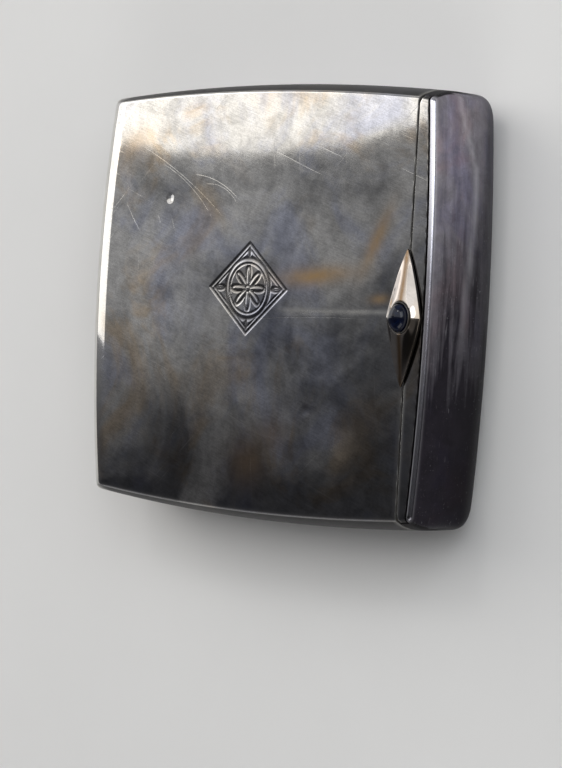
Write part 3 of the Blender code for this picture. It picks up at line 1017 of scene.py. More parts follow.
FRONT_SCRATCHES = (
    LongScratch((-23.0, 26.5), (-17.3, 23.4), (-6.2, 15.9), 0.06),
    LongScratch((-22.0, 25.4), (-15.6, 21.6), (-9.0, 15.2), 0.05),
    LongScratch((-13.1, 24.1), (-8.1, 22.8), (-2.4, 19.4), 0.11),
    LongScratch((-11.5, 22.4), (-6.6, 21.6), (-2.8, 18.6), 0.07),
    LongScratch((-34.9, 19.5), (-32.4, 16.0), (-30.0, 13.1), 0.09),
    LongScratch((-24.8, 16.2), (-24.4, 15.4), (-24.1, 14.5), 0.17),
    LongScratch((-20.9, 15.9), (-20.3, 14.4), (-19.6, 13.2), 0.15),
    LongScratch((11.2, -1.6), (24.0, -1.3), (36.3, -0.4), 0.8),
    LongScratch((3.0, -3.4), (17.0, -2.4), (30.0, -2.2), 0.09),
    LongScratch((-31.0, -9.0), (-22.0, -14.5), (-15.0, -22.0), 0.05),
)
FRONT_DENTS = (Dent(-21.6, 19.6, 1.4, 0.06), Dent(18.0, -20.0, 1.5, 0.02))
BROWN_STAINS = (
    Oval(19.0, 5.4, 8.0, 1.7, 0.10, 0.95), Oval(33.5, 12.5, 6.0, 1.4, 1.1, 0.85),
    Oval(34.9, 1.6, 2.2, 0.9, 0.1, 0.7), Oval(3.5, -30.5, 5.0, 4.5, 0.3, 0.4),
    Oval(-33.0, 30.0, 6.0, 2.6, 0.5, 0.45), Oval(10.0, -25.0, 4.0, 3.0, 0.0, 0.25),
)
# painted shade and light: darker and lighter ovals on the front, which deepen or ease its colour
PAINTED_SHADING_OVALS = (
    Oval(-24.0, -4.0, 9.0, 13.0, 0.0, -0.30), Oval(-9.0, 3.0, 7.0, 9.0, 0.0, 0.18),
    Oval(24.5, -5.5, 10.0, 5.5, -0.2, 0.42), Oval(18.0, 26.5, 7.0, 4.0, 0.1, 0.32),
    Oval(34.0, 19.5, 4.5, 9.0, 0.0, 0.18), Oval(11.0, 16.0, 12.0, 3.5, -0.6, -0.25),
    Oval(6.0, 27.5, 8.0, 3.0, 0.0, 0.15), Oval(-22.0, 20.0, 10.0, 6.0, 0.0, 0.14),
    Oval(28.0, -24.0, 11.0, 11.0, 0.0, -0.32), Oval(6.0, -27.0, 10.0, 11.0, 0.0, -0.15),
)


@dataclass(frozen=True)
class Effects:
    """The node groups that the finishes share."""

    tarnish: Tree = field(default_factory=make_tarnish_group)
    grain: Tree = field(default_factory=make_grain_group)
    scratches: Tree = field(default_factory=make_scratch_group)
    mark: Tree = field(default_factory=make_mark_group)


Colour = tuple[float, float, float]


def rgba(colour: Colour) -> tuple[float, float, float, float]:
    """Adds a full alpha to a colour."""
    return (*colour, 1.0)


def new_material(name: str) -> tuple[Material, Nodes, bpy.types.Node, Socket]:
    """Starts a material with its Principled shader.

    Args:
        name: the material's name.

    Returns:
        The material, its nodes, the shader and the place on the object.
    """
    material = bpy.data.materials.new(name)
    material.use_nodes = True
    nodes = Nodes(material.node_tree)
    place = nodes.add("ShaderNodeTexCoord").outputs["Object"]
    return material, nodes, material.node_tree.nodes["Principled BSDF"], place


PAINTED = ("worn", "engraved", "painted_shade", "smudge", "tarnished")
# painted shade: the colour darkens towards the bottom end over this run
PAINTED_SHADE_RUN = (-40 * MM, 34 * MM)
# partly wear and partly painted highlight: towards the top the tarnish clouds show less, lightening the
# front where the lamp's reflection lies
TOP_SHEEN_RUN = (22 * MM, 31 * MM)
TOP_SHEEN_SHARE = 0.3
WANDER = 20 * MM
MOTTLE_ON_METAL = 0.40
METAL_LIGHT = 0.82
MOTTLE_ON_SMUDGE, SMUDGE_LEAST = 0.30, 0.75
MOTTLE_ON_PAINTED_SHADE, PAINTED_SHADE_LEAST = 0.06, 0.92
LINE_SHADE, LINE_SHARE = (0.02, 0.018, 0.016), 0.85
ROUGHER = {"cloud": 0.012, "lines": 0.12, "painted_shade": 0.45, "engraved": 0.3}
RIPPLES = Pattern(48.0, 1.0, 0.4, 0.2)
SCRATCH_DEPTH = 0.003
GRAIN_DEPTH = 0.0005


@dataclass(frozen=True)
class OldMetal:
    """A metal that has been polished, worn and stained, with painted shade and a painted highlight in its
    colour.
    """

    name: str
    colour: Colour
    dark: Colour
    warm: Colour
    cool: Colour
    roughness: float
    stain: float
    bottom_shade: float = 0.0
    grain: float = 0.10
    scratch: float = 0.3
    streak: float = 0.0
    ripple: float = 0.012
    # colour of the painted shade, near black, standing in for shadow and dark reflections
    painted_shade: Colour = (0.012, 0.011, 0.012)
    smudge: Colour = (0.50, 0.33, 0.17)
    polished: Optional[Colour] = None
    marks: Sequence[LongScratch] = ()
    dents: Sequence[Dent] = ()

    def build(self, effects: Effects) -> Material:
        """Makes the material from masks in the shared groups and in the piece's painted attributes.

        Args:
            effects: the shared node groups.

        Returns:
            The material.
        """
        material, nodes, shader, place = new_material(self.name)
        masks = self.read_masks(nodes, place, effects)
        nodes.join(self.tone(nodes, place, masks), shader, "Base Color")
        rough = self.roughness
        for name, gain in ROUGHER.items():
            rough = nodes.scaled(masks[name], gain, rough, clamp=True)
        nodes.join(rough, shader, "Roughness")
        shader.inputs["Metallic"].default_value = 1.0
        height = self.relief(nodes, place, masks)
        bump = nodes.add("ShaderNodeBump", {"Strength": 1.0, "Distance": MM, "Height": height})
        nodes.join(bump.outputs[0], shader, "Normal")
        return material

    def read_masks(self, nodes: Nodes, place: Socket,
                   effects: Effects) -> dict[str, Socket]:
        """Collects the masks of the shared groups, the long scratches and the painted attributes.

        Args:
            nodes: the material's nodes.
            place: the place on the object.
            effects: the shared node groups.

        Returns:
            The masks by name.
        """
        masks = {}
        for tree in (effects.tarnish, effects.grain, effects.scratches):
            group = nodes.add("ShaderNodeGroup", {"Vector": place}, node_tree=tree)
            masks.update({output.name.lower(): output for output in group.outputs})
        for name in PAINTED:
            masks[name] = nodes.add("ShaderNodeAttribute", attribute_name=name).outputs["Fac"]
        masks["lines"] = masks["scratch"]
        for mark in self.marks:
            group = nodes.add("ShaderNodeGroup", {"Vector": place, **mark.values()}, node_tree=effects.mark)
            masks["lines"] = nodes.math("MAXIMUM", masks["lines"], group.outputs["Mark"])
        return masks

    def tone(self, nodes: Nodes, place: Socket,
             masks: dict[str, Socket]) -> Socket:
        """Mixes the metal's colour.

        The clean colour goes towards the dark one by the clouds, the wiped streaks and painted
        shade that darkens it down the case, more or less where the piece has painted shading, then
        takes warm and cool stains; towards the top of the front the clouds show less, partly worn
        and partly as painted highlight. Other attributes painted on the piece do the rest: painted
        shade stays black, smudges turn brown, worn places shine and engraved lines are dark.

        Args:
            nodes: the material's nodes.
            place: the place on the object.
            masks: the masks by name.

        Returns:
            The colour.
        """
        height = nodes.add("ShaderNodeSeparateXYZ", {0: place}).outputs[1]
        wander = nodes.times(nodes.math("SUBTRACT", masks["cloud"], 0.5), WANDER)
        height = nodes.math("ADD", height, wander)
        # painted shade, darker down the case
        bottom_shade = nodes.ramp(height, *PAINTED_SHADE_RUN, self.bottom_shade, 0.0)
        # clouds eased towards the top: partly wear, partly painted highlight
        rubbed_and_sheen = nodes.ramp(height, *TOP_SHEEN_RUN, self.stain, self.stain * TOP_SHEEN_SHARE)
        depth = nodes.scaled(masks["cloud"], rubbed_and_sheen, bottom_shade)
        # painted shading deepens or lightens the colour
        depth = nodes.math("ADD", depth, masks["tarnished"])
        depth = nodes.scaled(masks["streak"], self.streak, depth, clamp=True)
        colour = nodes.mix(depth, rgba(self.colour), rgba(self.dark))
        for name, tint in (("warm", self.warm), ("cool", self.cool)):
            colour = nodes.mix(masks[name], colour, nodes.mix(1.0, colour, rgba(tint), "MULTIPLY"))
        fine = nodes.scaled(masks["mottle"], MOTTLE_ON_METAL, METAL_LIGHT - self.grain / 2)
        fine = nodes.scaled(masks["grain"], self.grain, fine)
        colour = nodes.mix(1.0, colour, fine, "MULTIPLY")
        # smudges are brown stains; the painted shade turns the colour nearly black
        for name, mottled, least, tint in (
                ("smudge", MOTTLE_ON_SMUDGE, SMUDGE_LEAST, self.smudge),
                ("painted_shade", MOTTLE_ON_PAINTED_SHADE, PAINTED_SHADE_LEAST, self.painted_shade)):
            patchy = nodes.scaled(masks["mottle"], mottled, least)
            share = nodes.times(masks[name], patchy, clamp=True)
            colour = nodes.mix(share, colour, rgba(tint))
        shine = nodes.math("MAXIMUM", masks["worn"], nodes.times(masks["lines"], self.scratch))
        colour = nodes.mix(shine, colour, rgba(self.polished or self.colour))
        return nodes.mix(nodes.times(masks["engraved"], LINE_SHARE), colour, rgba(LINE_SHADE))

    def relief(self, nodes: Nodes, place: Socket,
               masks: dict[str, Socket]) -> Socket:
        """The height in millimetres: slow ripples, less the scratches and dents, plus the grain.

        Args:
            nodes: the material's nodes.
            place: the place on the object.
            masks: the masks by name.

        Returns:
            The height.
        """
        relief = nodes.times(RIPPLES.value(nodes, place), self.ripple)
        relief = nodes.scaled(masks["lines"], -SCRATCH_DEPTH, relief)
        relief = nodes.scaled(masks["grain"], GRAIN_DEPTH * self.grain, relief)
        flat = nodes.add("ShaderNodeVectorMath", {0: place, 1: (1.0, 1.0, 0.0)}, operation="MULTIPLY")
        for dent in self.dents:
            off = nodes.add("ShaderNodeVectorMath", {0: flat.outputs[0], 1: (dent.x * MM, dent.y * MM, 0.0)},
                            operation="DISTANCE").outputs["Value"]
            hollow = nodes.ramp(off, 0.0, dent.radius * MM, 1.0, 0.0)
            relief = nodes.scaled(hollow, -dent.depth, relief)
        return relief


@dataclass(frozen=True)
class Stone:
    """A dark blue cabochon, polished, with a faint depth of colour that is painted lighter facing the viewer
    and darker towards its rim.
    """

    name: str = "dark_blue_stone"
    deep: Colour = (0.002, 0.003, 0.010)
    painted_glow: Colour = (0.003, 0.008, 0.030)
    depths: Pattern = Pattern(700.0, 3.0, 0.6, 0.8, low=0.4, high=0.75)
    rim_shade_blend: float = 0.35
    roughness: float = 0.04
    cloud_roughness: float = 0.03
    bending: float = 1.5
    shine: float = 0.3

    def build(self) -> Material:
        """Makes the material: cloudy blue depths, painted lighter facing the viewer and darker towards the
        rim, under a clear polished face.

        Returns:
            The material.
        """
        material, nodes, shader, place = new_material(self.name)
        cloud = self.depths.mask(nodes, place)
        # painted light and shade: the blue depths show facing the viewer and darken towards the rim
        facing = nodes.add("ShaderNodeLayerWeight", {"Blend": self.rim_shade_blend}).outputs["Facing"]
        share = nodes.times(cloud, nodes.math("SUBTRACT", 1.0, facing))
        nodes.join(nodes.mix(share, rgba(self.deep), rgba(self.painted_glow)), shader, "Base Color")
        nodes.join(nodes.scaled(cloud, self.cloud_roughness, self.roughness), shader,
                   "Roughness")
        shader.inputs["IOR"].default_value = self.bending
        shader.inputs["Specular IOR Level"].default_value = self.shine
        return material


@dataclass(frozen=True)
class Elastic:
    """A woven elastic band: ribs along its length, crossed by fine threads."""

    name: str = "woven_elastic"
    thread: Colour = (0.50, 0.36, 0.17)
    shade: Colour = (0.22, 0.14, 0.06)
    rib_pitch: float = 0.0008
    rib_roundness: float = 0.6
    thread_pitch: float = 0.00034
    thread_relief: float = 0.4
    fuzz: Pattern = Pattern(5200.0, 3.0, 0.7)
    roughness: float = 0.75
    fuzz_roughness: float = 0.15
    fuzz_tone: tuple[float, float] = (0.6, 0.6)
    sheen: float = 0.3
    relief: float = 0.7
    depth: float = 0.0002

    def build(self) -> Material:
        """Makes the material: each rib and thread is a sine wave across the band's coordinates.

        Returns:
            The material.
        """
        material, nodes, shader, place = new_material(self.name)
        x, y, _z = nodes.add("ShaderNodeSeparateXYZ", {0: place}).outputs
        waves = []
        for axis, pitch in ((y, self.rib_pitch), (x, self.thread_pitch)):
            turn = nodes.math("SINE", nodes.times(axis, 2 * math.pi / pitch))
            waves.append(nodes.scaled(turn, 0.5, 0.5))
        threads = nodes.scaled(waves[1], self.thread_relief, 1 - self.thread_relief)
        weave = nodes.times(nodes.math("POWER", waves[0], self.rib_roundness), threads)
        fuzz = self.fuzz.value(nodes, place)
        share = nodes.times(weave, nodes.scaled(fuzz, *self.fuzz_tone), clamp=True)
        nodes.join(nodes.mix(share, rgba(self.shade), rgba(self.thread)), shader, "Base Color")
        rough = nodes.scaled(fuzz, self.fuzz_roughness, self.roughness)
        nodes.join(rough, shader, "Roughness")
        shader.inputs["Sheen Weight"].default_value = self.sheen
        bump = nodes.add("ShaderNodeBump",
                         {"Strength": self.relief, "Distance": self.depth, "Height": share})
        nodes.join(bump.outputs[0], shader, "Normal")
        return material


class Finishes:
    """Every finish of the case, built once."""

    def __init__(self) -> None:
        """Builds the shared effects and the materials."""
        effects = Effects()
        silver = OldMetal(
            "tarnished_silver", colour=(0.74, 0.72, 0.68), dark=(0.19, 0.19, 0.195), warm=(1.0, 0.86, 0.70),
            cool=(0.80, 0.84, 1.0), smudge=(0.80, 0.52, 0.25), roughness=0.045, stain=0.85, bottom_shade=0.42,
            grain=0.34, scratch=0.24, ripple=0.03, marks=FRONT_SCRATCHES, dents=FRONT_DENTS)
        # the end wall's silver: smudged and streaked, and painted darker than the front as shade
        side = OldMetal(
            "smudged_and_shaded_silver", colour=(0.38, 0.36, 0.405), dark=(0.022, 0.019, 0.026), warm=(1.0, 0.86, 0.84),
            cool=(0.84, 0.84, 1.0), polished=(0.80, 0.79, 0.84), roughness=0.20, stain=0.25, bottom_shade=0.95,
            streak=0.35, grain=0.16)
        bright = OldMetal(
            "bright_silver", colour=(0.70, 0.68, 0.65), dark=(0.46, 0.44, 0.43), warm=(1.0, 0.88, 0.72),
            cool=(0.88, 0.88, 1.0), smudge=(0.20, 0.12, 0.055), roughness=0.08, stain=0.5, grain=0.06,
            scratch=0.15, ripple=0.002)
        gilt = OldMetal(
            "satin_gilt", colour=(0.80, 0.58, 0.27), dark=(0.56, 0.38, 0.16), warm=(1.0, 0.82, 0.62),
            cool=(0.88, 0.92, 1.0), roughness=0.22, stain=0.6, bottom_shade=0.1, streak=0.2)
        steel = OldMetal(
            "spring_steel", colour=(0.52, 0.52, 0.53), dark=(0.30, 0.30, 0.32), warm=(1.0, 0.88, 0.74),
            cool=(0.85, 0.88, 1.0), roughness=0.22, stain=0.5, ripple=0.003)
        self.silver, self.side_silver, self.bright, self.gilt, self.steel = (
            metal.build(effects) for metal in (silver, side, bright, gilt, steel))
        self.stone = Stone().build()
        self.elastic = Elastic().build()


def finish_piece(piece: Piece, body: Body, slot: Slot, *replaced: str) -> Piece:
    """Shades a piece smooth, lets it ride on its body, hides the nodes that it stands for, and logs it.

    Args:
        piece: the finished mesh.
        body: the body that it moves with.
        slot: the record's material slot; not used.
        replaced: the frame's nodes that it replaces.

    Returns:
        The piece.
    """
    smooth(piece)
    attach(piece, body.value)
    if replaced:
        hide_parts(*replaced)
    LOG.info("%s: %d faces, on the %s", piece.name, len(piece.data.polygons), body.value)
    return piece


# Sub-assemblies


@dataclass
class Ornament:
    """An engraved rosette in a double ring within a lozenge."""

    centre: tuple[float, float] = (0.0013, 0.0024)
    ring: float = 0.0058
    inner_ring: float = 0.0048
    lozenge: tuple[float, float] = (0.0100, 0.0086)
    border: float = 0.0007
    petal: float = 0.0029
    petal_swing: float = 0.0013
    petals: int = 8
    eye_share: float = 0.2
    line: float = 0.00025
    fine_line: float = 0.00014
    line_reach_share: float = 1.5
    line_power: float = 0.7
    swelling_share: float = 0.55
    swelling_lean: float = 0.8
    leaf_width_share: float = 0.36
    leaf_line_share: float = 1.2
    rib_share: float = 1.05
    rib_end_slope: float = 20.0
    leaves: Sequence[tuple[float, float, float]] = ((0, 7.5, 1.2), (90, 6.9, 0.7))
    depth: float = 0.00010
    reach: tuple[float, float] = (0.0108, 0.0094)

    def mask(self, points: Array) -> Array:
        """How deep the engraving is at each point, from 0 to 1.

        A ring of radius R is the band |r - R| < w. The rosette is the band about
        R + s cos(n a), with the distance divided by its slope. The lozenge is the band about
        |x| / a + |y| / b = 1 outside the ring, with a finer one inside it. A leaf, at its own
        angle, reach and half length, is the band about the ellipse (u / l)^2 + (v / w)^2 = 1 on
        its own axes, with its rib along them, and each leaf has its twin across the middle.

        Args:
            points: array whose last axis starts with x and y.

        Returns:
            The mask.
        """
        x = points[..., 0] - self.centre[0]
        y = points[..., 1] - self.centre[1]
        radius = np.hypot(x, y)
        angle = np.arctan2(y, x)

        def band(distance: Array, width: Array) -> Array:
            """A groove's cross-section: full depth at its middle, fading to its edges."""
            return np.clip(1 - np.abs(distance) / (width * self.line_reach_share), 0, 1) ** self.line_power

        swelling = self.line * (1 + self.swelling_share * np.cos(angle - self.swelling_lean) ** 2)
        wave = self.petal + self.petal_swing * np.cos(self.petals * angle)
        slope = np.sqrt(1 + (self.petals * self.petal_swing * np.sin(self.petals * angle)
                             / np.maximum(radius, MM)) ** 2)
        shapes = [band(radius - self.ring, swelling), band(radius - self.inner_ring, self.fine_line),
                  band((radius - wave) / slope, self.line),
                  band(radius - self.eye_share * self.petal, self.fine_line)]
        across, along = self.lozenge
        side = (np.abs(x) / across + np.abs(y) / along - 1) / math.hypot(1 / across, 1 / along)
        outside = radius > self.ring + 2 * self.fine_line
        shapes += [band(side, self.line) * outside, band(side + self.border, self.fine_line) * outside]
        for degrees, place, length in self.leaves:
            turn, width = math.radians(degrees), length * MM * self.leaf_width_share
            u = np.abs(x * np.cos(turn) + y * np.sin(turn)) - place * MM
            v = -x * np.sin(turn) + y * np.cos(turn)
            share = np.hypot(u / (length * MM), v / width)
            shapes.append(band((share - 1) * width, self.fine_line * self.leaf_line_share))
            rib_end = np.clip((self.rib_share - share) * self.rib_end_slope, 0, 1)
            shapes.append(band(v, self.fine_line) * rib_end)
        return np.maximum.reduce(shapes)


@dataclass
class Lid:
    """The lid's shell with its engraving, and its lip."""

    skin: Skin
    finishes: Finishes
    ornament: Ornament = field(default_factory=Ornament)
    edge: float = 0.00010
    fine: float = 0.00016
    coarse: float = 0.0011
    levels: int = 40
    last_row_share: float = 2.5
    lip_softness_share: float = 1.5
    lip_steps: int = 8
    edge_wear: float = 0.3
    edge_wear_reach: float = 0.0004
    roll_wear: float = 0.75
    roll_wear_ends: tuple[float, float] = (0.003, 0.007)
    streak_place: float = -0.0015
    streak_lean: float = 0.02
    streak_width: float = 0.0005
    streak_run: Table = ((9.0, 15.0, 37.0, 38.0), (0.0, 0.7, 0.7, 0.0))
    black_beyond_front: Table = ((0.05, 0.35), (0.0, 1.0))

    def __post_init__(self) -> None:
        """Reads the shell's seam and straight edge from the frame."""
        low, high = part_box("lid_shell")
        self.seam, self.cut = low.z, high.x

    def build(self) -> None:
        """Makes the lid's own pieces."""
        self.make_shell()
        self.make_lip()

    def wall_rows(self, inset: float, across: Array, along: Array) -> Array:
        """Rows of the side wall from the seam up to the face: z = top - depth (1 - sin a).

        Args:
            inset: how far the outline is drawn in.
            across: shares along the ends.
            along: shares along the spine side.

        Returns:
            Array of rows, points and coordinates.
        """
        top = self.skin.thickness - inset
        z = (top - (top - self.seam) * (1 - np.sin(quarter_turn(self.levels))))[:, None]
        return self.skin.raise_to(self.skin.open_ring(z, inset, self.cut, across, along), z)

    def make_shell(self) -> None:
        """The shell: an outer and an inner skin, each a wall and a face, joined at their edges."""
        skin, art = self.skin, self.ornament
        left = skin.extents(np.array(skin.thickness), 0.0)[0].item()
        bulge = skin.bow_spine / 3
        x = stations(left, self.cut, art.centre[0] + bulge, art.reach[0] + bulge, self.fine, self.coarse)
        x = np.append(x[:-1], self.cut - np.array([self.last_row_share * self.edge, 0.0]))
        y = stations(-skin.half_height, skin.half_height, art.centre[1], art.reach[1], self.fine,
                     self.coarse)
        across = (x - x[0]) / (x[-1] - x[0])
        along = y / y[-1]
        outer, inner = (self.wall_rows(inset, across, along) for inset in (0.0, skin.wall))
        front, inside = (skin.face(np.array([[skin.thickness - inset]]), inset, self.cut, across, along)
                         for inset in (0.0, skin.wall))
        front[..., 2] -= art.depth * art.mask(front)
        parts = [grid(outer), grid(front), grid(inner, 1), grid(inside, 1), between(outer[0], inner[0])]
        parts += [between(outer[:, side], inner[:, side]) for side in (0, -1)]
        parts.append(between(front[:, -1], inside[:, -1]))
        shell = weld("lid_shell_visual", parts, [self.finishes.silver, self.finishes.gilt])
        cut_away(shell, Hinge.scoop())
        soften(shell, self.edge)
        paint(shell, "worn", self.wear)
        paint(shell, "engraved", lambda points: self.on_front(points, self.ornament.mask(points)))
        # painted shade: black on the ends' walls beyond the front and down in the seam
        paint(shell, "painted_shade", self.painted_shade_at)
        paint(shell, "smudge", lambda points: np.clip(self.ovals(points, BROWN_STAINS), 0, 1))
        # painted shade and light on the front: darker and lighter ovals
        paint(shell, "tarnished", lambda points: self.ovals(points, PAINTED_SHADING_OVALS))
        finish_piece(shell, Body.LID, Slot.SILVER, "lid_shell")

    def on_front(self, points: Array, values: Array) -> Array:
        """Keeps values on the outer face only."""
        return np.where(points[:, 2] > self.skin.thickness - self.skin.wall / 2, values, 0.0)

    def wear(self, points: Array) -> Array:
        """Wear on the spine's roll, the front's edges and a streak from the ornament to the thumbpiece.

        Along an edge it is exp(-(distance / reach)^2), and on the roll it rises smoothly.

        Args:
            points: array of points.

        Returns:
            A value for each point.
        """
        x, y = points[:, 0], points[:, 1]
        half = self.skin.end_at(self.skin.half_height, x)
        to_end = np.hypot(np.abs(y) - half, self.skin.thickness - points[:, 2])
        to_edge = np.minimum(to_end, np.abs(x - self.cut))
        edge = self.edge_wear * np.exp(-(to_edge / self.edge_wear_reach) ** 2)
        full, none = self.roll_wear_ends
        roll = np.clip((self.skin.spine_x + none - x) / (none - full), 0, 1)
        off = (y - self.streak_place - self.streak_lean * x) / self.streak_width
        streak = follow(x, self.streak_run) * np.exp(-off ** 2)
        return np.maximum.reduce([edge, self.roll_wear * roll * roll * (3 - 2 * roll), streak])

    def painted_shade_at(self, points: Array) -> Array:
        """Painted shade: black on the ends' walls beyond the front's end edges, and down in the seam.

        Args:
            points: array of points.

        Returns:
            A value for each point.
        """
        ends = follow(self.skin.beyond_front(points), self.black_beyond_front)
        above = points[:, 2] > self.seam + self.skin.wall
        seam = (np.abs(points[:, 0] - self.cut) < self.edge / 4) & above
        return np.maximum(ends, seam)

    def ovals(self, points: Array, places: Sequence[Oval]) -> Array:
        """Soft ovals exp(-(u / a)^2 - (v / b)^2) on the front, each with its lean and amount.

        Args:
            points: array of points.
            places: the ovals.

        Returns:
            The sum of the ovals for each point.
        """
        total = np.zeros(len(points))
        for oval in places:
            x, y = points[:, 0] / MM - oval.x, points[:, 1] / MM - oval.y
            u = x * math.cos(oval.lean) + y * math.sin(oval.lean)
            v = y * math.cos(oval.lean) - x * math.sin(oval.lean)
            total += oval.amount * np.exp(-(u / oval.length) ** 2 - (v / oval.width) ** 2)
        return self.on_front(points, total)

    def make_lip(self) -> None:
        """The strip under the straight edge, a block with softened edges and rounded lower corners."""
        low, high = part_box("lid_lip")
        radius = (high.z - low.z) / 3
        turn = quarter_turn(self.lip_steps)
        y = np.concatenate([low.y + radius * (1 - np.sin(turn[::-1])), high.y - radius * (1 - np.sin(turn))])
        z = np.concatenate([low.z + radius * (1 - np.cos(turn[::-1])), low.z + radius * (1 - np.cos(turn))])
        outline = np.concatenate([np.column_stack([y, z]), [[high.y, high.z], [low.y, high.z]]])
        sections = np.stack([np.column_stack([np.full(len(outline), x), outline]) for x in (low.x, high.x)])
        lip = weld("lid_lip_visual", sweep_parts(sections), [self.finishes.gilt])
        soften(lip, self.edge * self.lip_softness_share)
        finish_piece(lip, Body.LID, Slot.GILT, "lid_lip")


